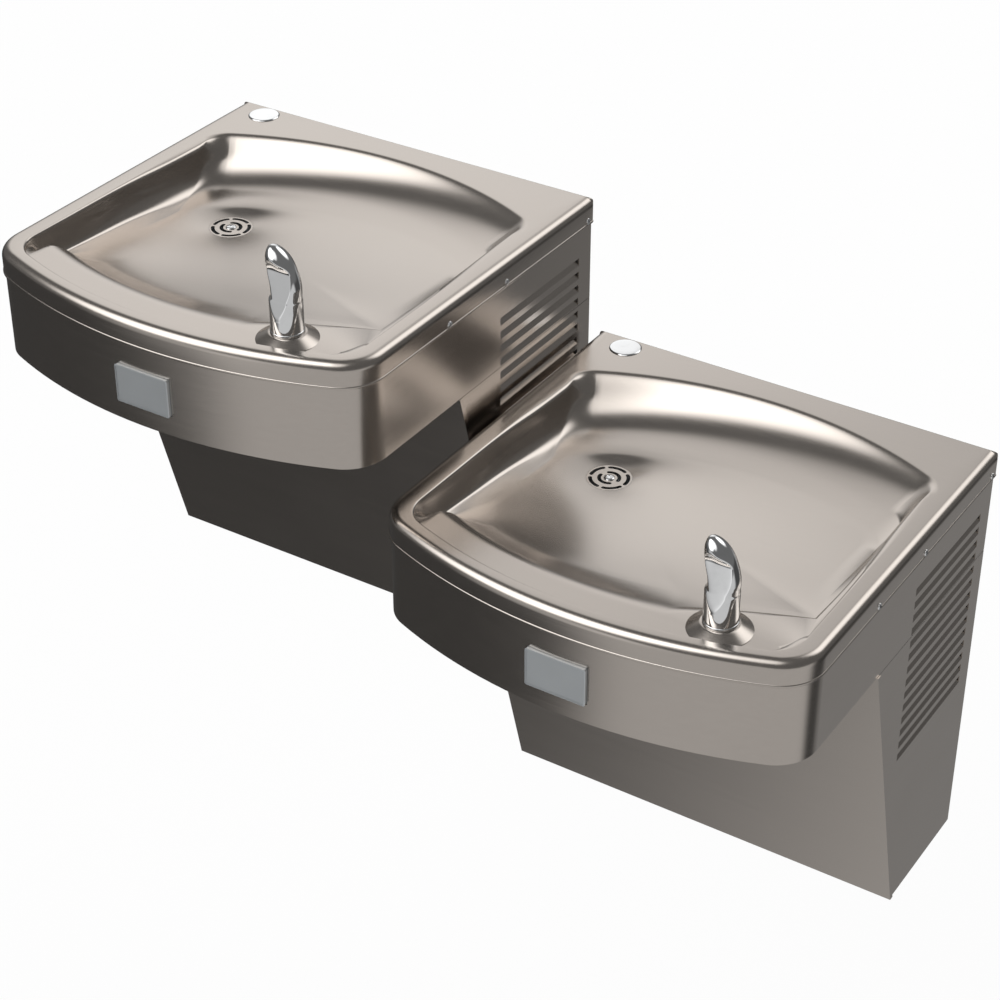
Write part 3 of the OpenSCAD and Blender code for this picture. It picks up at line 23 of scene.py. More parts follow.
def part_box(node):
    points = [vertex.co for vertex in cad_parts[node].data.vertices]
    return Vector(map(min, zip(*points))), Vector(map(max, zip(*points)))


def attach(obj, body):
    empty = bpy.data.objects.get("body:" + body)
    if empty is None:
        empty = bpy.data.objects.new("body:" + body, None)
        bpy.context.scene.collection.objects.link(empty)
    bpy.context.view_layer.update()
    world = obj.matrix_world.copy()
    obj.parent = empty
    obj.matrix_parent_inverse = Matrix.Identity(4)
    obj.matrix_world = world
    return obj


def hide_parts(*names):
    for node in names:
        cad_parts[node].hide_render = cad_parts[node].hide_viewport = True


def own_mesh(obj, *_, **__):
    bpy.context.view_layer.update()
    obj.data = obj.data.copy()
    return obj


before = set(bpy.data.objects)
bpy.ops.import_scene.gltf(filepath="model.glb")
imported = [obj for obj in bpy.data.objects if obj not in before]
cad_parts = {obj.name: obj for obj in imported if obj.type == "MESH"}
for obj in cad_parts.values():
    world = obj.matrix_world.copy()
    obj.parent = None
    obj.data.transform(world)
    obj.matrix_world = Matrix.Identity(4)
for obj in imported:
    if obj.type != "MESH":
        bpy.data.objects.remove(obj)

log = logging.getLogger("water_cooler")
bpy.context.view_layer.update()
Piece = bpy.types.Object
Point = tuple[float, float]
Ring = list[Vector]
Colour = tuple[float, float, float]


# ---------------------------------------------------------------- shader maths


class Graph:
    """The node tree of one material or of the world."""

    def __init__(self, tree: bpy.types.NodeTree) -> None:
        """Takes over a tree and empties it."""
        self.tree = tree
        tree.nodes.clear()

    def add(self, kind: str, settings: dict | None = None, sockets: dict | None = None) -> bpy.types.Node:
        """Adds one node.

        Args:
            kind: The node's type.
            settings: Properties set first.
            sockets: A value or a Wire for each input, by name or number.

        Returns:
            The new node.
        """
        node = self.tree.nodes.new(kind)
        for name, value in (settings or {}).items():
            setattr(node, name, value)
        for key, value in (sockets or {}).items():
            if isinstance(value, Wire):
                self.tree.links.new(value.socket, node.inputs[key])
            else:
                node.inputs[key].default_value = value
        return node

    def wire(self, kind: str, settings: dict | None = None, sockets: dict | None = None,
             output: str | int = 0) -> "Wire":
        """Adds one node as add does and returns one of its outputs, by name or number."""
        return Wire(self, self.add(kind, settings, sockets).outputs[output])

    def noise(self, vector: "Wire", scale: float, detail: float = 2.0, roughness: float = 0.5) -> "Wire":
        """Noise from 0 to 1 over a vector."""
        return self.wire("ShaderNodeTexNoise", sockets={
            "Vector": vector, "Scale": scale, "Detail": detail, "Roughness": roughness})

    def ease(self, value: "Wire", start: float, end: float) -> "Wire":
        """A smooth step from 0 at start to 1 at end."""
        return self.wire("ShaderNodeMapRange", {"interpolation_type": "SMOOTHSTEP"},
                         {"Value": value, "From Min": start, "From Max": end})

    def tint(self, share: "Wire", low: Colour, high: Colour) -> "Wire":
        """A colour from low at 0 to high at 1."""
        return self.wire("ShaderNodeMix", {"data_type": "RGBA"},
                         {"Factor": share, 6: (*low, 1.0), 7: (*high, 1.0)}, 2)

    def stretched(self, vector: "Wire", scale: Colour) -> "Wire":
        """A vector with each of its parts multiplied."""
        return self.wire("ShaderNodeVectorMath", {"operation": "MULTIPLY"}, {0: vector, 1: scale})

    def blend(self, share: "Wire", first: "Wire", second: "Wire") -> "Wire":
        """A number between two by a share."""
        return self.wire("ShaderNodeMix", {"data_type": "FLOAT"}, {0: share, 2: first, 3: second})

    def split(self, vector: "Wire") -> list["Wire"]:
        """A vector's three parts."""
        node = self.add("ShaderNodeSeparateXYZ", sockets={0: vector})
        return [Wire(self, output) for output in node.outputs]

    def relief(self, height: "Wire", depth: float) -> "Wire":
        """A normal bumped by a relief from 0 to 1 that is so many metres deep."""
        return self.wire("ShaderNodeBump", sockets={"Distance": depth, "Height": height})


class Wire:
    """A node's output that can be used in a Python expression."""

    def __init__(self, graph: Graph, socket: bpy.types.NodeSocket) -> None:
        """Keeps the output and the tree that it is in."""
        self.graph = graph
        self.socket = socket

    def _math(self, operation: str, first: "Wire | float", second: "Wire | float") -> "Wire":
        """One Math node on two values."""
        return self.graph.wire("ShaderNodeMath", {"operation": operation}, {0: first, 1: second})

    def __add__(self, other: "Wire | float") -> "Wire":
        """Sum."""
        return self._math("ADD", self, other)

    __radd__ = __add__

    def __mul__(self, other: "Wire | float") -> "Wire":
        """Product."""
        return self._math("MULTIPLY", self, other)

    __rmul__ = __mul__

    def __sub__(self, other: "Wire | float") -> "Wire":
        """Difference."""
        return self._math("SUBTRACT", self, other)

    def __rsub__(self, other: "Wire | float") -> "Wire":
        """Difference with the value on the right."""
        return self._math("SUBTRACT", other, self)

    def __abs__(self) -> "Wire":
        """Size without sign."""
        return self._math("ABSOLUTE", self, 0.0)


def new_material(name: str) -> tuple[bpy.types.Material, Graph]:
    """Makes an empty material and its graph.

    Args:
        name: Its name.

    Returns:
        The material and its graph.
    """
    made = bpy.data.materials.new(name)
    made.use_nodes = True
    return made, Graph(made.node_tree)


# ------------------------------------------------------------------- finishes


@dataclass(frozen=True)
class Finish(ABC):
    """A surface finish that becomes one material.

    Attributes:
        name: The material's name.
        colour: Its base colour, linear.
        roughness: Its middle roughness.
        metallic: 1 for bare metal, 0 for the rest.
    """

    name: str
    colour: Colour
    roughness: float
    metallic: float = 0.0

    def material(self) -> bpy.types.Material:
        """The finish's material, made on its first use.

        Returns:
            The material.
        """
        made = bpy.data.materials.get(self.name)
        if not made:
            made, graph = new_material(self.name)
            place = graph.wire("ShaderNodeTexCoord", output="Object")
            shader = graph.wire("ShaderNodeBsdfPrincipled", sockets={
                "Metallic": self.metallic, **self.sockets(graph, place)})
            graph.add("ShaderNodeOutputMaterial", sockets={0: shader})
        return made

    def shade(self, share: float) -> Colour:
        """The base colour made darker or lighter by a share."""
        return tuple(min(1.0, part * share) for part in self.colour)

    @abstractmethod
    def sockets(self, graph: Graph, place: Wire) -> dict:
        """The shader's inputs.

        Args:
            graph: The material's tree.
            place: Object coordinates.

        Returns:
            A value or a Wire for each input, by name.
        """


@dataclass(frozen=True)
class BrushedSteel(Finish):
    """Stainless sheet with a fine brushed grain that runs level along it.

    Attributes:
        grain: Depth of the grain, in metres.
        streak: How much the streaks change the roughness.
        fine: Scales of the fine streaks, along the grain and across it.
        broad: Scales of the broad streaks.
    """

    metallic: float = 1.0
    grain: float = 0.000005
    streak: float = 0.06
    fine: Point = (7.0, 1500.0)
    broad: Point = (4.2, 240.0)

    def sockets(self, graph: Graph, place: Wire) -> dict:
        """Streaks along X on faces seen from above and in front, and along Y on the sides.

        Args:
            graph: The material's tree.
            place: Object coordinates.

        Returns:
            The shader's inputs.
        """
        normal = graph.wire("ShaderNodeNewGeometry", output="Normal")
        on_side = graph.ease(abs(graph.split(normal)[0]), 0.6, 0.8)
        fine = self._streaks(graph, place, on_side, self.fine, 3.0, 0.6)
        broad = self._streaks(graph, place, on_side, self.broad, 2.0, 0.5)
        cloud = graph.noise(place, 9.0, 3.0)
        rough = self.roughness + (fine - 0.5) * self.streak + (broad - 0.5) * 0.05 + (cloud - 0.5) * 0.05
        share = 0.5 + (fine - 0.5) * 0.5 + (broad - 0.5) * 0.4 + (cloud - 0.5) * 0.3
        return {"Base Color": graph.tint(share, self.shade(0.92), self.shade(1.06)), "Roughness": rough,
                "Normal": graph.relief(fine, self.grain)}

    @staticmethod
    def _streaks(graph: Graph, place: Wire, on_side: Wire, scales: Point, *detail: float) -> Wire:
        """Noise drawn out along X, or along Y on the sides.

        Args:
            graph: The material's tree.
            place: Object coordinates.
            on_side: 1 on the sides.
            scales: Scale along the streaks and across them.
            detail: The noise's detail and roughness.

        Returns:
            The noise.
        """
        along, across = scales
        return graph.blend(on_side, *(graph.noise(graph.stretched(place, scale), 1.0, *detail)
                                      for scale in ((along, across, across), (across, along, across))))


@dataclass(frozen=True)
class Chrome(Finish):
    """Bright plate, with faint polishing marks and fingertip haze."""

    metallic: float = 1.0

    def sockets(self, graph: Graph, place: Wire) -> dict:
        """A mirror with a slight wave and haze.

        Args:
            graph: The material's tree.
            place: Object coordinates.

        Returns:
            The shader's inputs.
        """
        haze = graph.ease(graph.noise(place, 60.0, 4.0), 0.45, 0.75)
        marks = graph.noise(graph.stretched(place, (400.0, 400.0, 2600.0)), 1.0, 2.0)
        rough = self.roughness + haze * 0.05 + (marks - 0.5) * 0.02
        return {"Base Color": graph.tint(haze, self.colour, self.shade(0.94)), "Roughness": rough,
                "Normal": graph.relief(graph.noise(place, 90.0, 1.0), 0.00002)}


@dataclass(frozen=True)
class BeadBlasted(Finish):
    """Pale satin metal with an even, very fine grit.

    Attributes:
        grit: Depth of the grit, in metres.
    """

    metallic: float = 0.85
    grit: float = 0.00001

    def sockets(self, graph: Graph, place: Wire) -> dict:
        """Grit, soft clouds and a little wear.

        Args:
            graph: The material's tree.
            place: Object coordinates.

        Returns:
            The shader's inputs.
        """
        grit = graph.noise(place, 5200.0, 2.0)
        cloud = graph.noise(place, 40.0, 3.0)
        share = 0.5 + (cloud - 0.5) * 0.6 + (grit - 0.5) * 0.3
        return {"Base Color": graph.tint(share, self.shade(0.95), self.shade(1.04)),
                "Roughness": self.roughness + (cloud - 0.5) * 0.08 + (grit - 0.5) * 0.06,
                "Normal": graph.relief(grit, self.grit)}


@dataclass(frozen=True)
class SpangledZinc(Finish):
    """Galvanised sheet with its crystal pattern.

    Attributes:
        bend: How far the crystals' edges wander, in metres.
    """

    metallic: float = 0.9
    bend: float = 0.004

    def sockets(self, graph: Graph, place: Wire) -> dict:
        """Crystals a centimetre across, each with its own shade and gloss.

        Args:
            graph: The material's tree.
            place: Object coordinates.

        Returns:
            The shader's inputs.
        """
        waves = graph.wire("ShaderNodeTexNoise", output=1, sockets={
            "Vector": place, "Scale": 90.0, "Detail": 2.0})
        bent = graph.wire("ShaderNodeVectorMath", {"operation": "ADD"}, {
            0: place, 1: graph.stretched(waves, (self.bend,) * 3)})
        cells = graph.wire("ShaderNodeTexVoronoi", sockets={"Vector": bent, "Scale": 110.0}, output=1)
        shade = graph.wire("ShaderNodeSeparateColor", sockets={0: cells})
        dust = graph.noise(place, 25.0, 4.0)
        return {"Base Color": graph.tint(shade * 0.6 + dust * 0.4, self.shade(0.78), self.shade(1.12)),
                "Roughness": self.roughness + (shade - 0.5) * 0.16 + (dust - 0.5) * 0.1,
                "Normal": graph.relief(graph.noise(place, 900.0, 2.0), 0.00001)}


@dataclass(frozen=True)
class DrawnMetal(Finish):
    """Copper or brass with draw marks and spots of tarnish.

    Attributes:
        tarnish: The tarnish's colour, linear.
    """

    metallic: float = 1.0
    tarnish: Colour = (0.2, 0.12, 0.06)

    def sockets(self, graph: Graph, place: Wire) -> dict:
        """Tarnish in clouds over fine marks.

        Args:
            graph: The material's tree.
            place: Object coordinates.

        Returns:
            The shader's inputs.
        """
        cloud = graph.ease(graph.noise(place, 55.0, 5.0, 0.6), 0.48, 0.78)
        marks = graph.noise(place, 1800.0, 2.0)
        return {"Base Color": graph.tint(cloud * 0.75, self.colour, self.tarnish),
                "Roughness": self.roughness + cloud * 0.25 + (marks - 0.5) * 0.08,
                "Normal": graph.relief(marks, 0.00001)}


@dataclass(frozen=True)
class Moulded(Finish):
    """Moulded plastic, rubber or paint with a fine skin.

    Attributes:
        pores: Size of the skin's texture, as noise scale.
        depth: Depth of the skin's texture, in metres.
        gloss: Weight of a clear coat.
        dust: How much pale dust lies on it.
    """

    pores: float = 1400.0
    depth: float = 0.00003
    gloss: float = 0.0
    dust: float = 0.1

    def sockets(self, graph: Graph, place: Wire) -> dict:
        """Skin texture, uneven gloss and a little dust.

        Args:
            graph: The material's tree.
            place: Object coordinates.

        Returns:
            The shader's inputs.
        """
        skin = graph.noise(place, self.pores, 3.0)
        cloud = graph.noise(place, 30.0, 4.0)
        dusty = graph.ease(cloud, 0.5, 0.8) * self.dust
        high = tuple(part + (0.4 - part) * 0.35 for part in self.colour)
        return {"Base Color": graph.tint(dusty + (skin - 0.5) * 0.1, self.colour, high),
                "Roughness": self.roughness + (cloud - 0.5) * 0.12 + (skin - 0.5) * 0.06,
                "Normal": graph.relief(skin, self.depth),
                "Coat Weight": self.gloss, "Coat Roughness": 0.12}


class Slot(Enum):
    """The record's material slots."""

    STEEL = "brushed_stainless"
    CHROME = "chrome"
    ZINC = "galvanised_steel"
    BRASS = "brass"
    COPPER = "copper"
    PAD = "grey_plastic"
    BLACK_PLASTIC = "black_plastic"
    BLACK_PAINT = "black_paint"
    RUBBER = "black_rubber"
    WHITE = "white_plastic"
    FOAM = "tank_foam"


FINISHES: dict[Slot, Finish] = {
    Slot.STEEL: BrushedSteel("brushed_stainless_sheet", (0.565, 0.515, 0.470), 0.23),
    Slot.CHROME: Chrome("bright_chrome", (0.88, 0.885, 0.89), 0.05),
    Slot.ZINC: SpangledZinc("spangled_zinc", (0.50, 0.52, 0.53), 0.42),
    Slot.BRASS: DrawnMetal("machined_brass", (0.71, 0.55, 0.28), 0.28),
    Slot.COPPER: DrawnMetal("drawn_copper", (0.80, 0.42, 0.27), 0.25, tarnish=(0.25, 0.10, 0.06)),
    Slot.PAD: BeadBlasted("blasted_pad", (0.56, 0.585, 0.60), 0.5),
    Slot.BLACK_PLASTIC: Moulded("black_nylon", (0.022, 0.022, 0.023), 0.5),
    Slot.BLACK_PAINT: Moulded("black_enamel", (0.012, 0.012, 0.013), 0.35, pores=260.0, depth=0.00005,
                              gloss=0.6, dust=0.25),
    Slot.RUBBER: Moulded("black_rubber_skin", (0.015, 0.015, 0.015), 0.75, depth=0.00006, dust=0.2),
    Slot.WHITE: Moulded("white_poly", (0.72, 0.71, 0.67), 0.38, depth=0.00001, dust=0.15),
    Slot.FOAM: Moulded("tank_foam_skin", (0.035, 0.036, 0.04), 0.85, pores=420.0, depth=0.0006, dust=0.3),
}


# ----------------------------------------------------------------- workbench


def deselect() -> None:
    """Leaves nothing selected."""
    bpy.ops.object.select_all(action="DESELECT")


def pick(piece: Piece) -> None:
    """Selects one piece alone and makes it the active one.

    Args:
        piece: The piece.
    """
    deselect()
    piece.select_set(True)
    bpy.context.view_layer.objects.active = piece


def fresh(add: Callable, **settings: object) -> Piece:
    """Adds a primitive by its operator, with nothing else selected.

    Args:
        add: The operator.
        **settings: What it is given.

    Returns:
        The primitive.
    """
    deselect()
    add(**settings)
    return bpy.context.object


def freeze(piece: Piece) -> None:
    """Puts a piece's place, turn and scale into its mesh."""
    pick(piece)
    bpy.ops.object.transform_apply(location=True, rotation=True, scale=True)


@contextmanager
def editing(piece: Piece) -> Iterator[bmesh.types.BMesh]:
    """Edit mode on one piece, with nothing selected.

    Args:
        piece: The piece to edit.

    Yields:
        Its edit mesh.
    """
    pick(piece)
    bpy.ops.object.mode_set(mode="EDIT")
    bpy.ops.mesh.select_all(action="DESELECT")
    yield bmesh.from_edit_mesh(piece.data)
    bpy.ops.object.mode_set(mode="OBJECT")


def select(piece: Piece, parts: list, flush: bool = True) -> None:
    """Selects mesh parts in edit mode.

    Args:
        piece: The piece in edit mode.
        parts: Its vertices, edges or faces.
        flush: Whether the selection spreads to what the parts enclose.
    """
    bpy.ops.mesh.select_all(action="DESELECT")
    for part in parts:
        part.select_set(True)
    if flush:
        bmesh.from_edit_mesh(piece.data).select_flush(True)
    bmesh.update_edit_mesh(piece.data)


def apply_modifier(piece: Piece, kind: str, **settings: object) -> None:
    """Adds one modifier and applies it.

    Args:
        piece: The piece.
        kind: The modifier's type.
        **settings: Its properties.
    """
    pick(piece)
    modifier = piece.modifiers.new(kind.lower(), kind)
    for name, value in settings.items():
        setattr(modifier, name, value)
    bpy.ops.object.modifier_apply(modifier=modifier.name)


def carve(piece: Piece, cutter: Piece, operation: str) -> None:
    """Cuts a piece by a boolean with a cutter, which is then removed."""
    apply_modifier(piece, "BOOLEAN", operation=operation, object=cutter, solver="EXACT")
    bpy.data.objects.remove(cutter)


def join(pieces: list[Piece]) -> Piece:
    """Joins pieces into the first one.

    Args:
        pieces: The pieces.

    Returns:
        The first one.
    """
    pick(pieces[0])
    for piece in pieces[1:]:
        piece.select_set(True)
    bpy.ops.object.join()
    return pieces[0]


def skin(rings: list[Ring]) -> Piece:
    """Lays a grid primitive over closed rings of points, its columns along each ring.

    Args:
        rings: Rings with the same number of points each.

    Returns:
        The sheet, with its seam and poles merged.
    """
    columns, rows = len(rings[0]), len(rings) - 1
    sheet = fresh(bpy.ops.mesh.primitive_grid_add, x_subdivisions=columns, y_subdivisions=rows, size=2.0)
    for vertex in sheet.data.vertices:
        column, row = round((vertex.co.x + 1) / 2 * columns), round((vertex.co.y + 1) / 2 * rows)
        vertex.co = rings[row][column % columns]
    with editing(sheet):
        bpy.ops.mesh.select_all(action="SELECT")
        bpy.ops.mesh.remove_doubles(threshold=1e-6)
    return sheet


def lathe(profile: list[Point], steps: int = 72) -> Piece:
    """Turns a profile about the Z axis.

    Args:
        profile: Points of radius and height, from the axis or an open edge to the other end.
        steps: Steps round the turn.

    Returns:
        The turned shape, facing outwards.
    """
    shape = fresh(bpy.ops.mesh.primitive_plane_add, size=1.0)
    with editing(shape) as mesh:
        bmesh.ops.delete(mesh, geom=list(mesh.verts), context="VERTS")
        chain = [mesh.verts.new((radius, 0.0, height)) for radius, height in profile]
        for first, second in zip(chain, chain[1:]):
            mesh.edges.new((first, second))
        bmesh.update_edit_mesh(shape.data)
        bpy.ops.mesh.select_all(action="SELECT")
        bpy.ops.mesh.spin(steps=steps, angle=2 * math.pi, center=(0, 0, 0), axis=(0, 0, 1))
        bpy.ops.mesh.select_all(action="SELECT")
        bpy.ops.mesh.remove_doubles(threshold=1e-6)
        bpy.ops.mesh.normals_make_consistent(inside=False)
    return shape


def rounded(profile: list[Point], radius: float, steps: int = 4) -> list[Point]:
    """Rounds the inner corners of a profile.

    Args:
        profile: Its points.
        radius: The corners' size.
        steps: Points along each corner.

    Returns:
        The profile with a short curve for each corner.
    """
    points = [profile[0]]
    for before, corner, after in zip(profile, profile[1:], profile[2:]):
        here = Vector(corner)
        back, ahead = Vector(before) - here, Vector(after) - here
        reach = min(radius, back.length * 0.45, ahead.length * 0.45)
        start, end = here + back.normalized() * reach, here + ahead.normalized() * reach
        for step in range(steps + 1):
            share = step / steps
            points.append(tuple(start.lerp(here, share).lerp(here.lerp(end, share), share)))
    return [*points, profile[-1]]


def publish(piece: Piece, body: str, slot: Slot, node: str) -> Piece:
    """Gives a finished piece its finish, puts it on its body and hides the node that it stands for.

    Args:
        piece: The piece, in place.
        body: The body that it rides on.
        slot: The record's slot of its finish.
        node: The node that it replaces.

    Returns:
        The piece.
    """
    piece.data.materials.clear()
    piece.data.materials.append(FINISHES[slot].material())
    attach(piece, body)
    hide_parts(node)
    log.info("%s rides on %s, %d faces", piece.name, body, len(piece.data.polygons))
    return piece


# --------------------------------------------------------------------- rings


def mix(low: float, high: float, share: float) -> float:
    """A value between two by a share."""
    return low + (high - low) * share


def between(first: Point, last: Point, share: float) -> Point:
    """A place between two by a share."""
    return mix(first[0], last[0], share), mix(first[1], last[1], share)


def line(first: Point, last: Point, steps: int) -> list[Point]:
    """Points on a straight line, both ends included."""
    return [between(first, last, step / steps) for step in range(steps + 1)]


def arc(x: float, y: float, radius: float, start: float, end: float, steps: int) -> list[Point]:
    """Points on an arc, both ends included, with angles in degrees."""
    angles = [math.radians(mix(start, end, step / steps)) for step in range(steps + 1)]
    return [(x + radius * math.cos(angle), y + radius * math.sin(angle)) for angle in angles]


def curve(first: Point, middle: Point, last: Point, steps: int) -> list[Point]:
    """Points on a curve that leaves and arrives towards its middle point, both ends included."""
    return [between(start, end, step / steps)
            for step, (start, end) in enumerate(zip(line(first, middle, steps), line(middle, last, steps)))]


@dataclass(frozen=True)
class RingSteps:
    """Points along each part of a deck ring."""

    corner: int = 18
    front: int = 64
    back: int = 52
    side: int = 30


@dataclass(frozen=True)
class RingPlan:
    """One ring of the deck: its sides, bowed front and back, and their corners.

    Attributes:
        left: Its left side's X.
        right: Its right side's X.
        front: The middle of its front.
        front_r: Radius of the front's bow.
        front_corner: Radius of the front corners.
        back: The middle of its back.
        back_r: Radius of the back's bow, or 0 for a straight back.
        back_corner: Radius of the back corners.
        cut: Where the right front corner is cut behind the bubbler: an X on the front, a middle
            point, and a Y on the right side.
    """

    left: float
    right: float
    front: float
    front_r: float
    front_corner: float
    back: float
    back_r: float
    back_corner: float
    cut: tuple[float, Point, float] | None = None

    def points(self, steps: RingSteps) -> list[Point]:
        """The ring's points, counter-clockwise from its right front corner.

        Args:
            steps: How many points each part has.

        Returns:
            The points.
        """
        middle, half = (self.left + self.right) / 2, (self.right - self.left) / 2
        rf, cf, rb, cb = self.front_r, self.front_corner, self.back_r, self.back_corner
        turn_f = math.degrees(math.asin((half - cf) / (rf - cf)))
        turn_b = math.degrees(math.asin((half - cb) / (rb - cb))) if rb else 0.0
        front_y = self.front + rf - math.sqrt((rf - cf) ** 2 - (half - cf) ** 2)
        back_y = self.back - cb
        if rb:
            back_y = self.back - rb + math.sqrt((rb - cb) ** 2 - (half - cb) ** 2)
        end_f = turn_f
        front_right = arc(self.right - cf, front_y, cf, turn_f - 90, 0, steps.corner)
        if self.cut:
            end_f = math.degrees(math.asin((self.cut[0] - middle) / rf))
            start = arc(middle, self.front + rf, rf, end_f - 90, end_f - 90, 1)[0]
            front_right = curve(start, self.cut[1], (self.right, self.cut[2]), steps.corner)
        back_right = arc(self.right - cb, back_y, cb, 0, 90 - turn_b, steps.corner)
        back_left = arc(self.left + cb, back_y, cb, 90 + turn_b, 180, steps.corner)
        front_left = arc(self.left + cf, front_y, cf, 180, 270 - turn_f, steps.corner)
        back = (arc(middle, self.back - rb, rb, 90 - turn_b, 90 + turn_b, steps.back) if rb
                else line(back_right[-1], back_left[0], steps.back))
        front = arc(middle, self.front + rf, rf, -90 - turn_f, end_f - 90, steps.front)
        return [*front_right, *line(front_right[-1], back_right[0], steps.side)[1:-1], *back_right,
                *back[1:-1], *back_left, *line(back_left[-1], front_left[0], steps.side)[1:-1],
                *front_left, *front[1:-1]]


# ------------------------------------------------------------------ stations


class Side(Enum):
    """The two stations, by the first word of their nodes' names."""

    UPPER = "upper"
    LOWER = "lower"

    @property
    def origin(self) -> Vector:
        """The station's origin: the centre of its deck's back edge."""
        low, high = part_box(f"{self.value}_deck")
        return Vector(((low.x + high.x) / 2, 0.0, high.z))


@dataclass
class StationPiece(ABC):
    """One piece that both stations have, modelled from the centre of the deck's back edge.

    Attributes:
        side: The station.
        title: The piece's name after the station's.
        node: The node that it replaces, without the station's name.
        slot: The record's slot of its finish.
        body: The body that it rides on, or its name after the station's where each has its own.
        smooth_deg: Edges sharper than this stay sharp.
    """

    side: Side
    title: ClassVar[str]
    node: ClassVar[str]
    slot: ClassVar[Slot]
    body: ClassVar[str] = "cooler"
    smooth_deg: ClassVar[float] = 30.0

    @abstractmethod
    def shape(self) -> Piece:
        """Models the piece at its place in a station whose origin is the scene's."""

    def named(self, word: str) -> str:
        """A name of this station."""
        return f"{self.side.value}_{word}"

    def build(self) -> Piece:
        """Builds the piece.

        Returns:
            The piece at its station, dressed and on its body.
        """
        piece = self.shape()
        piece.location += self.side.origin
        piece.name = piece.data.name = self.named(self.title)
        freeze(piece)
        bpy.ops.object.shade_smooth_by_angle(angle=math.radians(self.smooth_deg))
        body = self.body if self.body == "cooler" else self.named(self.body)
        return publish(piece, body, self.slot, self.named(self.node))


@dataclass
class Deck(StationPiece):
    """The pressed stainless deck: rolled edges, a rim, a bowl with its own foot, and a drain.

    Attributes:
        front_r: Radius of the front's bow.
        edge_r: Radius of its rolled edge.
        border_left: Width of the flat border on the left, and so on.
        rim_back_r: Radius of the bow of the bowl's rim behind.
        rim_roll: Width of the rim's roll in plan.
        rim_margin: Where the flat border ends before the rim, as insets for rim.
        roll_front: Width of the roll's bend in front; roll_sides is that on the right.
        shelf_drop: How far the shelf in front lies below the border.
        wall_left: Width of the bowl's left wall in plan, and so on.
        foot_corner: Radius of the corners at the wall's foot.
        bowl: Depth of the bowl at the drain.
        bead: Half width of the bead along the skirt's lower edge.
        depths: Heights of the wall's foot, as for values.
        roll_share: The most that a roll's bend takes of its width.
        roll_depth: Share of the right wall's drop that its roll takes.
        left_powers: How the left wall's way and drop are bent.
        back_falls: How slowly the back wall starts and runs out: its steep, brief and broad form.
        back_share: Share of the brief form in the right end of the back wall.
        dish: How steep the floor is at the drain, as a share of its mean slope.
        roll_steps: Steps across the roll, and so on.
        eased_rings: How many rings of the wall and of the floor are evened out.
        edge_cut: Where the bowl's edge is cut behind the bubbler, as in RingPlan.
        foot_cut: Where the wall's foot is cut behind the bubbler.
    """

    title = "basin_deck"
    node = "deck"
    slot = Slot.STEEL
    smooth_deg = 40.0
    width: float = 0.465
    depth: float = 0.4705
    front_r: float = 0.556
    corner_r: float = 0.048
    skirt: float = 0.028
    edge_r: float = 0.010
    back_fold: float = 0.0022
    border_left: float = 0.0235
    border_right: float = 0.0215
    border_front: float = 0.0175
    border_back: float = 0.034
    rim_back_r: float = 0.440
    rim_corner: float = 0.034
    rim_roll: float = 0.007
    rim_margin: Point = (-0.0015, -0.0012)
    roll_front: float = 0.003
    roll_sides: float = 0.012
    shelf_drop: float = 0.003
    shelf: float = 0.028
    wall_left: float = 0.027
    wall_right: float = 0.013
    wall_back: float = 0.083
    wall_front: float = 0.056
    foot_corner: float = 0.040
    drain: Point = (-0.1095, -0.187)
    drain_r: float = 0.024
    bowl: float = 0.048
    sheet: float = 0.0012
    bead: float = 0.0007
    depths: tuple[float, ...] = (-0.014, -0.0105, -0.021, -0.023, -0.043, -0.043, -0.037, -0.037)
    roll_share: float = 0.98
    roll_depth: float = 0.75
    left_powers: Point = (0.75, 0.85)
    back_falls: tuple[Point, Point, Point] = ((0.8, 4.2), (0.8, 10.0), (0.4, 0.7))
    back_share: float = 0.42
    dish: float = 0.72
    roll_steps: int = 14
    shelf_steps: int = 6
    wall_steps: int = 24
    floor_steps: int = 16
    eased_rings: tuple[int, int] = (18, 7)
    edge_cut: tuple[float, Point, float] = (0.0855, (0.1175, -0.386), -0.352)
    foot_cut: tuple[float, Point, float] = (0.068, (0.106, -0.364), -0.336)
    steps: RingSteps = field(default_factory=RingSteps)

    def values(self, *ends: float) -> list[float]:
        """Values round a ring, even between the ends of its corners.

        Args:
            ends: The values at both ends of each corner, from the right front one on.

        Returns:
            A value for each of the ring's points.
        """
        corner, side = self.steps.corner, self.steps.side
        made = []
        for part, count in enumerate((corner, side, corner, self.steps.back, corner, side, corner,
                                      self.steps.front)):
            for step in range(part % 2, count + 1 - part % 2):
                share = step / count if part else 1 - (1 - step / count) ** 2
                made.append(mix(ends[part], ends[(part + 1) % len(ends)], share))
        return made

    def outline(self, inset: float, back: float) -> list[Point]:
        """The deck's outline, drawn in by insets.

        Args:
            inset: The inset of its front and sides.
            back: The inset behind.

        Returns:
            Its points.
        """
        half = self.width / 2
        return RingPlan(-half + inset, half - inset, -self.depth + inset, self.front_r - inset,
                        self.corner_r - inset, -back, 0.0, max(self.back_fold - back, self.sheet)
                        ).points(self.steps)

    def rim(self, inset: float, front: float, cut: tuple[float, Point, float] | None = None) -> list[Point]:
        """The rim's line, drawn in by insets.

        Args:
            inset: The inset of its sides and back.
            front: The inset in front.
            cut: As in RingPlan.

        Returns:
            Its points.
        """
        half = self.width / 2
        ahead = self.border_front + front
        return RingPlan(-half + self.border_left + inset, half - self.border_right - inset,
                        -self.depth + ahead, self.front_r - ahead, self.rim_corner - inset,
                        -self.border_back - inset, self.rim_back_r - inset, self.rim_corner - inset,
                        cut).points(self.steps)

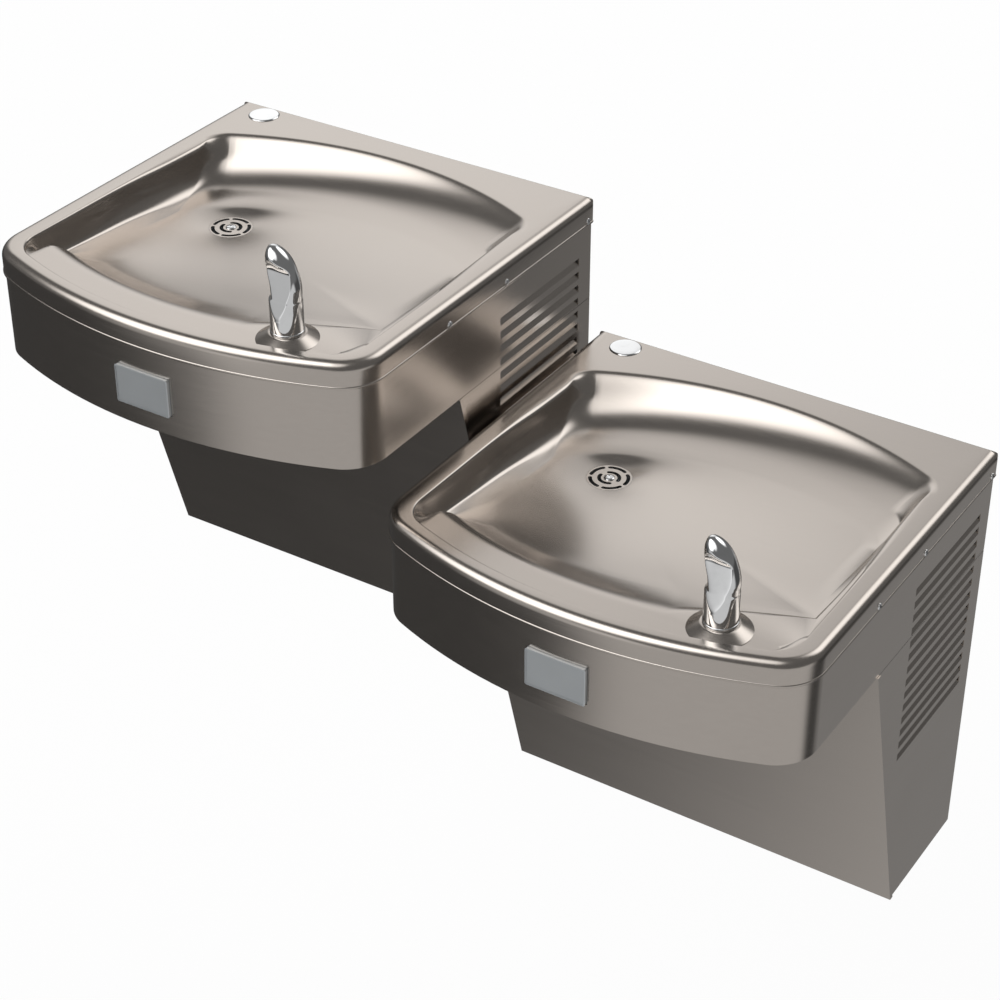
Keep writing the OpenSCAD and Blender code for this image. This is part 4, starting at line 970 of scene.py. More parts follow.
    def foot(self) -> list[Point]:
        """The foot of the bowl's wall.

        Returns:
            Its points.
        """
        half, roll = self.width / 2, self.rim_roll
        ahead = self.border_front + self.shelf + self.wall_front
        deep = self.border_back + roll + self.wall_back
        return RingPlan(-half + self.border_left + roll + self.wall_left,
                        half - self.border_right - roll - self.wall_right, -self.depth + ahead,
                        self.front_r - ahead, self.foot_corner, -deep,
                        self.rim_back_r - roll - self.wall_back, self.foot_corner, self.foot_cut
                        ).points(self.steps)

    def rings(self) -> list[Ring]:
        """All rings of the sheet's top face, from the skirt's lower edge to the drain.

        Returns:
            The rings.
        """
        outline = self.outline(0.0, 0.0)
        bead_steps, edge_steps = 6, 10
        made = []
        for step in range(bead_steps + 1):
            turn = math.pi * (step / bead_steps - 0.5)
            height = -self.skirt + self.bead * 2 * (1 + math.sin(turn))
            made.append([Vector((x, y, height)) for x, y in self.outline(-self.bead * math.cos(turn), 0.0)])
        for step in range(edge_steps + 1):
            turn = math.pi / 2 * step / edge_steps
            flat = self.outline(self.edge_r * (1 - math.cos(turn)), self.back_fold * (1 - math.cos(turn)))
            ring = []
            for (x, y), base in zip(flat, outline):
                share = min(max(1 + base[1] / self.back_fold, 0.0), 1.0)
                radius = mix(self.edge_r, self.back_fold, share * share * (3 - 2 * share))
                ring.append(Vector((x, y, -radius * (1 - math.sin(turn)))))
            made.append(ring)
        made.append([Vector((x, y, 0.0)) for x, y in self.rim(*self.rim_margin)])
        return made + self._bowl_rings()

    def _profiles(self) -> list[list[tuple[float, float, float]]]:
        """The bowl's profiles from rim to foot, round the bowl from its front.

        Returns:
            Rows of the profiles in front, on the right at its front and back end, behind on the right
            and left, and on the left at its back and front end. A row holds a place (0 at the rim, 1
            after its roll, 2 at the bowl's edge, 3 at the foot), a share of the rim's drop and a share
            of the drop below it.
        """
        roll, flat, wall = self.roll_steps, self.shelf_steps, self.wall_steps
        rows = roll + flat + wall
        bends = [(math.sin(math.pi / 2 * k / roll), 1 - math.cos(math.pi / 2 * k / roll), 0.0)
                 for k in range(roll + 1)]
        front = [*bends, *((1 + k / flat, 1.0, 0.0) for k in range(1, flat)),
                 *((2 + k / wall, 1.0, (1 - math.cos(math.pi * k / wall)) / 2) for k in range(wall + 1))]
        right = []
        for k in range(rows + 1):
            along = k / rows * (self.rim_roll + self.wall_right) - self.rim_roll
            way = 2 + along / self.wall_right if along > 0 else (1 + along / self.rim_roll) / self.roll_share
            right.append((way, *self._right_drop(k / rows)))
        left = list(bends)
        widen, fall = self.left_powers
        for k in range(1, flat + wall + 1):
            turn = math.pi / 2 * k / (flat + wall)
            left.append((1 + 2 * (1 - max(math.cos(turn), 0.0) ** widen), 1.0, math.sin(turn) ** fall))
        steep, brief, broad = (self._drops(rows, *powers) for powers in self.back_falls)
        mild = [mix(wide, narrow, self.back_share) for narrow, wide in zip(brief, broad)]
        return [front, right, self._even(rows, self._right_drop),
                *(self._even(rows, lambda way: (drops[round(way * rows)],) * 2) for drops in (mild, steep)),
                self._even(rows, self._left_drop), left]

    @staticmethod
    def _drops(rows: int, start: float, end: float) -> list[float]:
        """Shares of the drop down a back wall, steepest near its top.

        Args:
            rows: How many steps it has.
            start: How slowly the wall turns down at the rim, as a power.
            end: How slowly it runs out at the foot.

        Returns:
            The share at each row.
        """
        slopes = [((k + 0.5) / rows) ** start * (1 - (k + 0.5) / rows) ** end for k in range(rows)]
        return [sum(slopes[:k]) / sum(slopes) for k in range(rows + 1)]

    @staticmethod
    def _even(rows: int, drop: Callable[[float], Point]) -> list[tuple[float, float, float]]:
        """A profile whose rows lie evenly across the wall.

        Args:
            rows: How many steps it has.
            drop: Gives shares of the two drops at a share of the way.

        Returns:
            The profile's rows, with minus the share of the way as their place.
        """
        return [(-k / rows, *drop(k / rows)) for k in range(rows + 1)]

    def _right_drop(self, way: float) -> Point:
        """The right wall's drops: a tight roll, then the floor.

        Args:
            way: Share of the way across it.

        Returns:
            Shares of the rim's drop and of the drop below it.
        """
        bend = self.roll_sides / (self.rim_roll + self.wall_right)
        if way < bend:
            drop = 1 - math.sqrt(1 - (way / bend) ** 2)
            return drop, self.roll_depth * drop
        return 1.0, mix(self.roll_depth, 1.0, (way - bend) / (1 - bend))

    def _left_drop(self, way: float) -> Point:
        """The left wall's drops: a wide roll, then a steep wall with a tight foot.

        Args:
            way: Share of the way across it.

        Returns:
            Shares of the rim's drop and of the drop below it.
        """
        bend = self.rim_roll / (self.rim_roll + self.wall_left)
        if way < bend:
            return 1 - math.sqrt(1 - (way / bend) ** 2), 0.0
        widen, fall = self.left_powers
        cosine = max(1 - (way - bend) / (1 - bend), 0.0) ** (1 / widen)
        return 1.0, max(1 - cosine ** 2, 0.0) ** (fall / 2)

    def _bowl_rings(self) -> list[Ring]:
        """The rim, the front shelf, the bowl's wall and its floor, down to the drain.

        Returns:
            Their rings.
        """
        weights = [self.values(*(int(end in ends) for end in range(8)))
                   for ends in ((0, 7), (1,), (2,), (3,), (4,), (5,), (6,))]
        front, side = -self.shelf_drop, -self.rim_roll
        drops = self.values(front, mix(front, side, 0.3), side, side, side, side, side, front)
        depths = self.values(*self.depths)
        sides = self.roll_sides
        reach = self.values(self.roll_front, 0.8 * sides, sides, sides, sides, self.rim_roll, self.rim_roll,
                            self.roll_front)
        lines = list(zip(self.rim(0.0, 0.0), self.rim(self.rim_roll, self.shelf, self.edge_cut), self.foot()))
        made = []
        for rows in zip(*self._profiles()):
            ring = []
            for k, (start, crease, end) in enumerate(lines):
                x = y = z = 0.0
                for share, (way, first, second) in zip((weight[k] for weight in weights), rows):
                    if share > 0:
                        place = self._place(way, start, crease, end, reach[k])
                        x, y = x + share * place[0], y + share * place[1]
                        z += share * (drops[k] * first + (depths[k] - drops[k]) * second)
                ring.append(Vector((x, y, z)))
            made.append(ring)
        walls = len(made)
        made += self._floor_rings(made[-1])
        return self._relaxed(made, walls - self.eased_rings[0], walls + self.eased_rings[1])

    def _place(self, way: float, start: Point, crease: Point, end: Point, reach: float) -> Point:
        """A place on the line from the rim to the bowl's edge and on to its foot.

        Args:
            way: As in a profile's row; minus the share of the whole way for even rows.
            start: The rim's point.
            crease: The edge's point.
            end: The foot's point.
            reach: Where the rim's roll ends.

        Returns:
            The place.
        """
        first, second = math.dist(start, crease), math.dist(crease, end)
        bend = min(reach / first, self.roll_share)
        if way <= 0:
            along = -way * (first + second)
            way = 2 + (along - first) / second if along > first else -1.0
            part = along / first
        elif way < 2:
            part = bend * way if way < 1 else mix(bend, 1.0, way - 1)
        return between(start, crease, part) if way < 2 else between(crease, end, way - 2)

    def _floor_rings(self, foot: Ring) -> list[Ring]:
        """The bowl's floor: a smooth dish from the wall's foot down to the drain.

        Args:
            foot: The wall's last ring.

        Returns:
            The rings below it.
        """
        hole = Vector(self.drain)
        lip = [hole + (point.xy - hole).normalized() * self.drain_r for point in foot]
        spans = [(point.xy - hole).length - self.drain_r for point in foot]
        slopes = [(point.z + self.bowl) / span for point, span in zip(foot, spans)]
        made = []
        for step in range(1, self.floor_steps):
            ring = []
            for point, end in zip(foot, lip):
                place = point.xy.lerp(end, step / self.floor_steps)
                slope, span = self._averages(place, foot, slopes, spans)
                away = (place - hole).length - self.drain_r
                rise = slope * away * mix(self.dish, 1.0, min(away / span, 1.0))
                ring.append(Vector((*place, rise - self.bowl)))
            made.append(ring)
        return [*made, [Vector((*end, -self.bowl)) for end in lip]]

    @staticmethod
    def _averages(place: Vector, ring: Ring, *values: list[float]) -> list[float]:
        """A ring's values at a place inside it, by mean value coordinates.

        Args:
            place: The place.
            ring: The ring round it.
            values: Lists with a value at each of the ring's points.

        Returns:
            Each one's value there.
        """
        spokes = [(point.x - place.x, point.y - place.y) for point in ring]
        lengths = [math.hypot(*spoke) for spoke in spokes]
        halves = [(a[0] * b[1] - a[1] * b[0]) / (m * n + a[0] * b[0] + a[1] * b[1])
                  for a, b, m, n in zip(spokes, spokes[1:] + spokes[:1], lengths, lengths[1:] + lengths[:1])]
        weights = [(halves[k - 1] + halves[k]) / length for k, length in enumerate(lengths)]
        total = sum(weights)
        return [sum(w * value for w, value in zip(weights, row)) / total for row in values]

    @staticmethod
    def _relaxed(rings: list[Ring], first: int, last: int, rounds: int = 80) -> list[Ring]:
        """Evens out the heights round the wall's foot.

        Args:
            rings: The bowl's rings, with the drain's last.
            first: The first ring that moves.
            last: The ring after the last one.
            rounds: How often each height moves towards its neighbours'.

        Returns:
            The rings.
        """
        count = len(rings[0])
        pulls = []
        for above, here, below in zip(rings[first - 1:], rings[first:last], rings[first + 1:]):
            row = []
            for k in range(count):
                up, down, left, right = (max((point - here[k]).xy.length, 1e-4) for point in (
                    above[k], below[k], here[k - 1], here[(k + 1) % count]))
                row.append((1 / (up * (up + down)), 1 / (down * (up + down)), 1 / (left * (left + right)),
                            1 / (right * (left + right))))
            pulls.append(row)
        heights = [[point.z for point in ring] for ring in rings]
        for _ in range(rounds):
            for r in range(first, last):
                firm = 0.5 * math.sin(math.pi * (r + 1 - first) / (last + 1 - first)) ** 2
                row, above, below = heights[r], heights[r - 1], heights[r + 1]
                for k, (up, down, left, right) in enumerate(pulls[r - first]):
                    level = (up * above[k] + down * below[k] + left * row[k - 1]
                             + right * row[(k + 1) % count]) / (up + down + left + right)
                    row[k] += firm * (level - row[k])
        for ring, row in zip(rings, heights):
            for point, height in zip(ring, row):
                point.z = height
        return rings

    def shape(self) -> Piece:
        """The sheet: its top face's rings, thickened downwards.

        Returns:
            The deck.
        """
        sheet = skin(self.rings())
        apply_modifier(sheet, "SOLIDIFY", thickness=self.sheet, offset=-1.0, use_even_offset=True)
        return sheet


@dataclass
class Bubbler(StationPiece):
    """The chromed bubbler: a round column with a flat slanted front and a hollow, leaning hood.

    Attributes:
        column: Shares of its height, with its lean as a share of the height and its radius as one of
            the column's.
        flat_low: Where the flat front starts; flat_high is where the hood does.
        flat_depth: How far the flat front slants back.
        hood_rise: Height over which the hood comes forward by hood_depth; hood_most is its end.
        dimple: The nozzle's hollow: its X and Z, its size, depth and stretch upwards.
        blends: How softly the front cuts the column, low and high on it.
        blend_way: Share of the height where that starts to change, and the share it takes.
        near: How near the front's cut the blend ends.
        crowding: How much the rings crowd towards the tip, as a power.
        lip: How far the ring round the foot stands out; lip_h is its height.
    """

    title = "chrome_bubbler"
    node = "bubbler"
    slot = Slot.CHROME
    smooth_deg = 32.0
    centre: Point = (0.136, -0.4095)
    radius: float = 0.0165
    base: float = 0.00465
    height: float = 0.089
    column: tuple[tuple[float, float, float], ...] = (
        (0.0, 0.0, 1.0), (0.2, 0.0, 1.0), (0.385, 0.0, 1.0), (0.405, -0.001, 0.985), (0.42, -0.012, 0.93),
        (0.48, -0.015, 0.925), (0.55, -0.012, 0.93), (0.62, 0.003, 0.935), (0.68, 0.02, 0.93),
        (0.77, 0.045, 0.88), (0.84, 0.066, 0.79), (0.90, 0.09, 0.66), (0.95, 0.112, 0.48),
        (0.985, 0.130, 0.27), (0.998, 0.135, 0.10), (1.0, 0.136, 0.0))
    flat_low: float = 0.0260
    flat_high: float = 0.0687
    flat_depth: float = 0.0109
    hood_rise: float = 0.0165
    hood_depth: float = 0.0165
    hood_most: float = 1.4
    dimple: tuple[float, ...] = (-0.0085, 0.0835, 0.0062, 0.0034, 1.3)
    blends: Point = (0.0007, 0.0022)
    blend_way: Point = (0.7, 0.2)
    near: float = 0.008
    crowding: float = 1.25
    shank_r: float = 0.0089
    shank: float = 0.060
    lip: float = 0.0006
    lip_h: float = 0.0036
    sides: int = 112
    levels: int = 150

    def section(self, share: float) -> tuple[float, float]:
        """The column's lean and radius at a share of its height.

        Args:
            share: Share of the height, from 0 to 1.

        Returns:
            Shift towards -X and radius, in metres.
        """
        rows = self.column
        k = max(i for i in range(len(rows) - 1) if rows[i][0] <= share or i == 0)
        before, here, there, after = (rows[min(max(i, 0), len(rows) - 1)] for i in range(k - 1, k + 3))
        gap = there[0] - here[0]
        t = (share - here[0]) / gap
        made = []
        for part in (1, 2):
            slope_a = (there[part] - before[part]) / max(there[0] - before[0], 1e-9) * gap
            slope_b = (after[part] - here[part]) / max(after[0] - here[0], 1e-9) * gap
            made.append((2 * t ** 3 - 3 * t ** 2 + 1) * here[part] + (t ** 3 - 2 * t ** 2 + t) * slope_a
                        + (3 * t ** 2 - 2 * t ** 3) * there[part] + (t ** 3 - t ** 2) * slope_b)
        return made[0] * self.height, max(made[1], 0.0) * self.radius

    def front(self, x: float, z: float) -> float:
        """How far forward the front face is at a place: its Y.

        Args:
            x: Distance right of the column's axis.
            z: Height above the deck's top.

        Returns:
            The least Y there, or a far one where the column is round.
        """
        if z < self.flat_low - self.near / 2:
            return -1.0
        share = min((z - self.flat_low) / (self.flat_high - self.flat_low), 1.0)
        limit = -self.radius + share * self.flat_depth
        over = min(max((z - self.flat_high) / self.hood_rise, 0.0), self.hood_most)
        limit -= self.hood_depth * over * over
        across, up, size, deep, tall = self.dimple
        return limit + deep * math.exp(-((x - across) / size) ** 2 - ((z - up) / size / tall) ** 2)

    def rings(self) -> list[Ring]:
        """Rings of the column from its foot to its tip.

        Returns:
            The rings.
        """
        made = []
        for level in range(self.levels + 1):
            share = 1 - (1 - level / self.levels) ** self.crowding
            lean, radius = self.section(share)
            z = self.base + share * self.height
            blend = mix(*self.blends, min(max((share - self.blend_way[0]) / self.blend_way[1], 0.0), 1.0))
            ring = []
            for step in range(self.sides):
                turn = 2 * math.pi * step / self.sides
                x, y = radius * math.cos(turn) - lean, radius * math.sin(turn)
                limit = self.front(x, z)
                gap = limit - y
                if -self.near < gap:
                    y = (y + limit + math.hypot(gap, blend)) / 2 - blend * blend / (4 * self.near)
                ring.append(Vector((x, y, z)))
            made.append(ring)
        return made

    def shape(self) -> Piece:
        """The column with a ring round its foot and the shank under it.

        Returns:
            The bubbler.
        """
        column = skin(self.rings())
        with editing(column):
            bpy.ops.mesh.select_all(action="SELECT")
            bpy.ops.mesh.fill_holes(sides=0)
            bpy.ops.mesh.normals_make_consistent(inside=False)
        base, bore, outer, end = self.base, self.shank_r, self.radius + self.lip, self.base - self.shank
        ring = lathe(rounded([(bore, base + 0.0002), (bore, base), (outer, base),
                              (outer, base + self.lip_h - 0.0005),
                              (self.radius - self.lip, base + self.lip_h)], 0.0009))
        shank = lathe([(0.0, end), (bore - 0.0006, end), (bore, end + 0.001), (bore, base + 0.0005)], 48)
        bubbler = join([column, ring, shank])
        bubbler.location = (*self.centre, 0.0)
        return bubbler


@dataclass
class Pedestal(StationPiece):
    """The pressed cone under the bubbler, its rim trimmed where it meets the step in front."""

    title = "pressed_pedestal"
    node = "pedestal"
    slot = Slot.STEEL
    smooth_deg = 32.0
    centre: Point = (0.136, -0.4095)
    base_r: float = 0.0315
    top_r: float = 0.0185
    height: float = 0.0076
    floor: float = -0.00295
    bore: float = 0.0092
    sheet: float = 0.0012
    trim_x: float = 0.001
    trim_y: float = 0.0855
    trim_r: float = 0.5395
    bend: float = 0.0016

    def shape(self) -> Piece:
        """The turned cone, cut to the bow of the rim's step.

        Returns:
            The pedestal.
        """
        inner, edge = (self.bore, self.height - self.sheet), self.sheet / 3
        profile = [inner, (self.top_r - self.sheet, inner[1]), (self.base_r - 3 * self.sheet, 0.0),
                   (self.base_r, 0.0), (self.base_r - edge, edge), (self.top_r, self.height),
                   (self.bore, self.height)]
        cone = lathe([*rounded(profile, self.bend, 5), inner], 96)
        cone.location = (*self.centre, self.floor)
        carve(cone, fresh(bpy.ops.mesh.primitive_cylinder_add, vertices=720, radius=self.trim_r, depth=0.06,
                          location=(self.trim_x, self.trim_y, 0.0)), "INTERSECT")
        return cone


@dataclass
class PushPad(StationPiece):
    """The push pad: a rounded plate with a bevelled edge, a shallow ring and its plunger behind."""

    title = "button_pad"
    node = "push_pad"
    slot = Slot.PAD
    body = "button"
    width: float = 0.065
    height: float = 0.0415
    front: float = -0.472
    drop: float = -0.0746
    corner: float = 0.002
    bevel: float = 0.0007
    lip: float = 0.003
    lip_front: float = -0.4661
    lip_sheet: float = 0.002
    lip_bevel: float = 0.0003
    plunger_r: float = 0.005
    plunger_bevel: float = 0.0004
    border: float = 0.0012
    groove: float = 0.0003

    def shape(self) -> Piece:
        """The plate, its lip behind the apron and the plunger.

        Returns:
            The pad.
        """
        _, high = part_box(self.named(self.node))
        face = self._plate(self.width, self.height, self.front, self.lip_front, self.bevel)
        with editing(face) as mesh:
            select(face, [f for f in mesh.faces if f.normal.y < -0.9])
            bpy.ops.mesh.inset(thickness=self.border, depth=0.0)
            bpy.ops.mesh.inset(thickness=self.groove, depth=-self.groove / 2)
        back = self.lip_front + self.lip_sheet
        lip = self._plate(self.width + 2 * self.lip, self.height + 2 * self.lip, self.lip_front, back,
                          self.lip_bevel)
        plunger = fresh(bpy.ops.mesh.primitive_cylinder_add, vertices=48, radius=self.plunger_r,
                        depth=high.y - back, location=(0.0, (high.y + back) / 2, 0.0),
                        rotation=(math.pi / 2, 0, 0))
        apply_modifier(plunger, "BEVEL", width=self.plunger_bevel, segments=2)
        pad = join([face, lip, plunger])
        pad.location.z += self.drop
        return pad

    def _plate(self, width: float, height: float, front: float, back: float, bevel: float) -> Piece:
        """A plate with rounded corners and a bevelled front edge, at the height of the station's origin.

        Args:
            width: Its width.
            height: Its height.
            front: Its front face's Y.
            back: Its back face's Y.
            bevel: Width of its front edge's bevel.

        Returns:
            The plate.
        """
        plate = fresh(bpy.ops.mesh.primitive_cube_add, size=1.0)
        plate.scale = (width, back - front, height)
        freeze(plate)
        with editing(plate) as mesh:
            select(plate, [e for e in mesh.edges if abs((e.verts[0].co - e.verts[1].co).y) > 1e-5], False)
            bpy.ops.mesh.bevel(offset=self.corner, segments=6, affect="EDGES")
        with editing(plate) as mesh:
            mesh.normal_update()
            edges = [e for e in mesh.edges if all(v.co.y < 0 for v in e.verts)
                     and any(f.normal.y > -0.5 for f in e.link_faces)]
            select(plate, edges, False)
            bpy.ops.mesh.bevel(offset=bevel, segments=3, affect="EDGES")
        plate.location.y = (front + back) / 2
        freeze(plate)
        return plate


@dataclass
class HolePlug(StationPiece):
    """The polished disc that closes the spare hole behind the basin."""

    title = "plug_disc"
    node = "hole_plug"
    slot = Slot.CHROME
    centre: Point = (-0.1885, -0.0204)
    radius: float = 0.0176
    sheet: float = 0.0014
    leg_r: float = 0.0137
    leg: float = 0.009
    wall: float = 0.0024
    edge: float = 0.0012

    def shape(self) -> Piece:
        """A slightly crowned disc with a round collar under it.

        Returns:
            The plug.
        """
        inner, edge = self.leg_r - self.wall, self.edge
        profile = [(0.0, self.sheet), (self.radius * 0.6, self.sheet - 0.00002),
                   (self.radius - edge, self.sheet - 0.0001), (self.radius, edge / 4), (self.radius, 0.0),
                   (self.leg_r, 0.0), (self.leg_r, -self.leg), (inner, -self.leg), (inner, -edge),
                   (0.0, -edge)]
        plug = lathe(rounded(profile, 0.0008), 96)
        plug.location = (*self.centre, 0.0)
        return plug


@dataclass(frozen=True)
class Screw:
    """A pan-head screw with a domed head and a cross recess.

    Attributes:
        head_r: The head's radius.
        head_h: The head's height.
        shank_r: The shank's radius.
        shank: The shank's length.
    """

    head_r: float
    head_h: float
    shank_r: float
    shank: float

    def model(self) -> Piece:
        """The screw along Z with its head at the top.

        Returns:
            The screw.
        """
        dome = [(self.head_r * x, self.head_h * (0.25 + 0.75 * z)) for z, x in arc(0, 0, 1, 0, 90, 8)]
        screw = lathe([*dome, (self.head_r, 0.0), (self.shank_r, 0.0), (self.shank_r, -self.shank + 0.0006),
                       (self.shank_r * 0.5, -self.shank), (0.0, -self.shank)], 40)
        for turn in (0.0, math.pi / 2):
            blade = fresh(bpy.ops.mesh.primitive_cube_add, size=1.0, location=(0, 0, self.head_h),
                          rotation=(0, 0, turn))
            blade.scale = (self.head_r * 1.15, self.head_r * 0.24, self.head_h * 1.1)
            carve(screw, blade, "DIFFERENCE")
        return screw


@dataclass
class SkirtScrews(StationPiece):
    """Six screws along the deck's skirt, three on each side."""

    title = "skirt_screws"
    node = "deck_screws"
    slot = Slot.CHROME
    half_width: float = 0.2325
    places: tuple[float, ...] = (0.0115, 0.172, 0.276)
    drop: float = -0.0225
    turns_deg: Point = (25.0, 40.0)
    screw: Screw = Screw(head_r=0.0036, head_h=0.0018, shank_r=0.002, shank=0.007)

    def shape(self) -> Piece:
        """One screw modelled and copied to the six places, each turned a little differently.

        Returns:
            The screws, as one piece.
        """
        first = self.screw.model()
        copies = []
        for hand in (-1, 1):
            for place, depth in enumerate(self.places):
                copy = first.copy()
                copy.data = first.data.copy()
                bpy.context.collection.objects.link(copy)
                turn = math.radians(self.turns_deg[0] + self.turns_deg[1] * place)
                spin = Matrix.Rotation(turn, 4, "Z")
                copy.data.transform(Matrix.Rotation(hand * math.pi / 2, 4, "Y") @ spin)
                copy.location = (hand * self.half_width, -depth, self.drop)
                freeze(copy)
                copies.append(copy)
        bpy.data.objects.remove(first)
        return join(copies)


@dataclass
class DrainScrew(StationPiece):
    """The screw in the middle of the strainer."""

    title = "drain_screw"
    node = "strainer_screw"
    slot = Slot.CHROME
    place: tuple[float, float, float] = (-0.1095, -0.187, -0.048)
    turn_deg: float = 30.0
    screw: Screw = Screw(head_r=0.0058, head_h=0.0018, shank_r=0.003, shank=0.011)

    def shape(self) -> Piece:
        """The screw in its place.

        Returns:
            The screw.
        """
        drain = self.screw.model()
        drain.data.transform(Matrix.Rotation(math.radians(self.turn_deg), 4, "Z"))
        drain.location = self.place
        return drain


@dataclass
class ReturnSpring(StationPiece):
    """The coil behind the pad, one round wire in six turns."""

    title = "coil_spring"
    node = "return_spring"
    slot = Slot.ZINC
    smooth_deg = 60.0
    radius: float = 0.0084
    wire: float = 0.0007
    turns: int = 6
    steps: int = 40
    drop: float = -0.0746
    travel: float = 0.005

    def shape(self) -> Piece:
        """The wire swept along its coil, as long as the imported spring.

        Returns:
            The spring.
        """
        low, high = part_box(self.named(self.node))
        start, length = low.y + self.wire, high.y - low.y - 2 * self.wire
        coil = bpy.data.curves.new(self.named("coil"), "CURVE")
        coil.dimensions = "3D"
        coil.bevel_depth, coil.bevel_resolution, coil.use_fill_caps = self.wire, 3, True
        path = coil.splines.new("POLY")
        count = self.turns * self.steps
        path.points.add(count)
        for k, point in enumerate(path.points):
            turn = 2 * math.pi * k / self.steps
            point.co = (self.radius * math.cos(turn), start + length * k / count,
                        self.drop + self.radius * math.sin(turn), 1.0)
        spring = bpy.data.objects.new(self.named(self.title), coil)
        bpy.context.collection.objects.link(spring)
        pick(spring)
        bpy.ops.object.convert(target="MESH")
        return bpy.context.object

    def build(self) -> Piece:
        """Builds the spring and gives it a mesh of its own.

        Returns:
            The spring.
        """
        low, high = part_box(self.named(self.node))
        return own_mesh(super().build(), self.named("pad_press"), axis=(0, 1, 0), anchor=(0, high.y, 0),
                         keep=(high.y - low.y - self.travel) / (high.y - low.y))


# --------------------------------------------------------------------- stage


@dataclass(frozen=True)
class Glow:
    """A soft light in one direction, as the steel sees it.

    Attributes:
        towards: Its direction.
        level: Its brightness.
        inner: Half angle of its even part, in degrees.
        outer: Half angle at which it ends.
    """

    towards: tuple[float, float, float]
    level: float
    inner: float
    outer: float


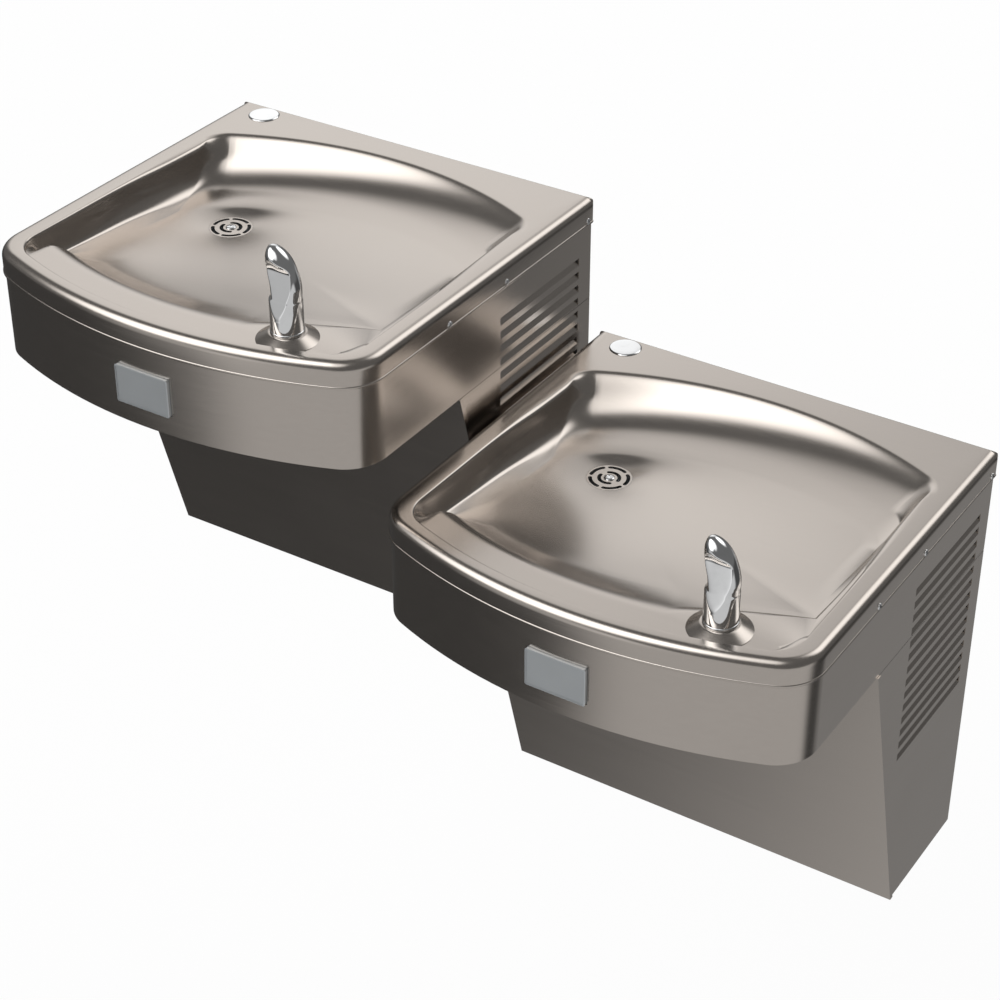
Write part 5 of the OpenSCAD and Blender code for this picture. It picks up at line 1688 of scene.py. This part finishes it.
@dataclass
class Studio:
    """A pale floor, soft light all round and the camera.

    Attributes:
        floor: The floor's height.
        even: Brightness between the glows, as metal sees it.
        matt: The same as matt things see it.
        shadow: How strongly shadows show on the floor.
        camera: The camera's place.
        glows: The soft lights.
    """

    floor: float = -1.0
    even: float = 0.14
    matt: float = 0.85
    shadow: float = 0.12
    camera: tuple[float, float, float] = (1.389854, -1.994206, 1.367654)
    yaw_deg: float = 32.6
    pitch_deg: float = 33.413
    lens: float = 86.909
    glows: tuple[Glow, ...] = (
        Glow((-0.43, 0.70, 0.55), 0.58, 11.0, 29.0),
        Glow((-0.64, 0.70, 0.33), 0.42, 5.0, 26.0),
        Glow((0.27, 0.70, 0.66), 1.7, 6.0, 24.0),
        Glow((-0.45, -0.60, 0.66), 2.3, 16.0, 34.0),
        Glow((0.06, -0.52, 0.85), 1.2, 6.0, 25.0),
        Glow((-0.45, -0.875, -0.15), 0.40, 6.0, 26.0),
    )

    def build(self) -> None:
        """Builds the world, the floor and the camera."""
        self._world()
        self._floor()
        self._camera()
        bpy.context.scene.view_settings.view_transform = "Standard"

    def _world(self) -> None:
        """A white surround for the camera, even light on matt things and soft boxes in the metal."""
        world = bpy.data.worlds.new("soft_studio")
        bpy.context.scene.world = world
        world.use_nodes = True
        graph = Graph(world.node_tree)
        towards = graph.wire("ShaderNodeTexCoord", output="Generated")
        x, y, z = graph.split(towards)
        below = graph.ease(z, 0.02, -0.12)
        patch = graph.ease(x, -0.46, -0.19) * graph.ease(y, 0.36, 0.06)
        flank = graph.ease(x, 0.0, 0.25) * graph.ease(x, 0.56, 0.38) * graph.ease(y, 0.2, 0.5)
        level = self.even + below * (patch * 0.50 - 0.08) + below * flank * 0.24
        for glow in self.glows:
            across = graph.wire("ShaderNodeVectorMath", {"operation": "DOT_PRODUCT"},
                                {0: towards, 1: Vector(glow.towards).normalized()}, "Value")
            level = level + glow.level * graph.ease(across, math.cos(math.radians(glow.outer)),
                                                    math.cos(math.radians(glow.inner)))
        rays = graph.add("ShaderNodeLightPath")
        for name, strength in (("Is Diffuse Ray", self.matt), ("Is Camera Ray", 1.0)):
            level = level + (strength - level) * Wire(graph, rays.outputs[name])
        back = graph.wire("ShaderNodeBackground", sockets={"Color": (1, 1, 1, 1), "Strength": level})
        graph.add("ShaderNodeOutputWorld", sockets={0: back})

    def _floor(self) -> None:
        """A plain pale floor that keeps the object's soft shadow."""
        floor = fresh(bpy.ops.mesh.primitive_plane_add, size=14.0, location=(0.24, -0.2, self.floor))
        floor.name = "studio_floor"
        material, graph = new_material("pale_floor")
        white = graph.wire("ShaderNodeEmission", sockets={"Color": (1, 1, 1, 1), "Strength": 1.0})
        matt = graph.wire("ShaderNodeBsdfDiffuse", sockets={"Color": (0.9, 0.9, 0.9, 1)})
        both = graph.wire("ShaderNodeMixShader", sockets={0: self.shadow, 1: white, 2: matt})
        graph.add("ShaderNodeOutputMaterial", sockets={0: both})
        floor.data.materials.append(material)
        floor.visible_glossy = floor.visible_diffuse = False

    def _camera(self) -> None:
        """The camera at the photograph's place, found by fitting both decks."""
        data = bpy.data.cameras.new("view")
        data.sensor_width, data.lens = 36.0, self.lens
        camera = bpy.data.objects.new("view", data)
        bpy.context.collection.objects.link(camera)
        yaw, pitch = math.radians(self.yaw_deg), math.radians(self.pitch_deg)
        ahead = Vector((-math.sin(yaw) * math.cos(pitch), math.cos(yaw) * math.cos(pitch), -math.sin(pitch)))
        right = Vector((math.cos(yaw), math.sin(yaw), 0.0))
        turn = Matrix((right, right.cross(ahead), -ahead)).transposed().to_4x4()
        camera.matrix_world = Matrix.Translation(self.camera) @ turn
        bpy.context.scene.camera = camera


NODE_SLOTS: dict[Slot, str] = {
    Slot.STEEL: "strainer apron cabinet front_panel",
    Slot.CHROME: "panel_screws waste_trap stop_valve stop_handle",
    Slot.ZINC: "back_frame drain_cup unit_shelf condenser fan_bracket fan_motor fan_blade electrical_box",
    Slot.BRASS: "lock_nut valve_stem valve_body",
    Slot.COPPER: "crossover_tube filter_drier refrigerant_lines inlet_tube",
    Slot.BLACK_PLASTIC: "pad_housing thermostat_knob",
    Slot.BLACK_PAINT: "compressor",
    Slot.RUBBER: "crossover_grommets compressor_grommets",
    Slot.WHITE: "supply_tube thermostat",
    Slot.FOAM: "chilling_tank",
}


def dress_nodes() -> None:
    """Gives every node that is still shown its finish."""
    slots = {kind: slot for slot, kinds in NODE_SLOTS.items() for kind in kinds.split()}
    for name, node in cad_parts.items():
        kind = name.removeprefix("upper_").removeprefix("lower_")
        if node.hide_render or kind not in slots:
            continue
        for slot in node.material_slots:
            slot.material = FINISHES[slots[kind]].material()


def main() -> None:
    """Builds every piece in order and reports it."""
    logging.basicConfig(level=logging.INFO, format="%(message)s", stream=sys.stdout)
    Studio().build()
    for side in Side:
        for kind in (Deck, Pedestal, Bubbler, PushPad, HolePlug, SkirtScrews, DrainScrew, ReturnSpring):
            kind(side).build()
    dress_nodes()


if __name__ == "__main__":
    main()
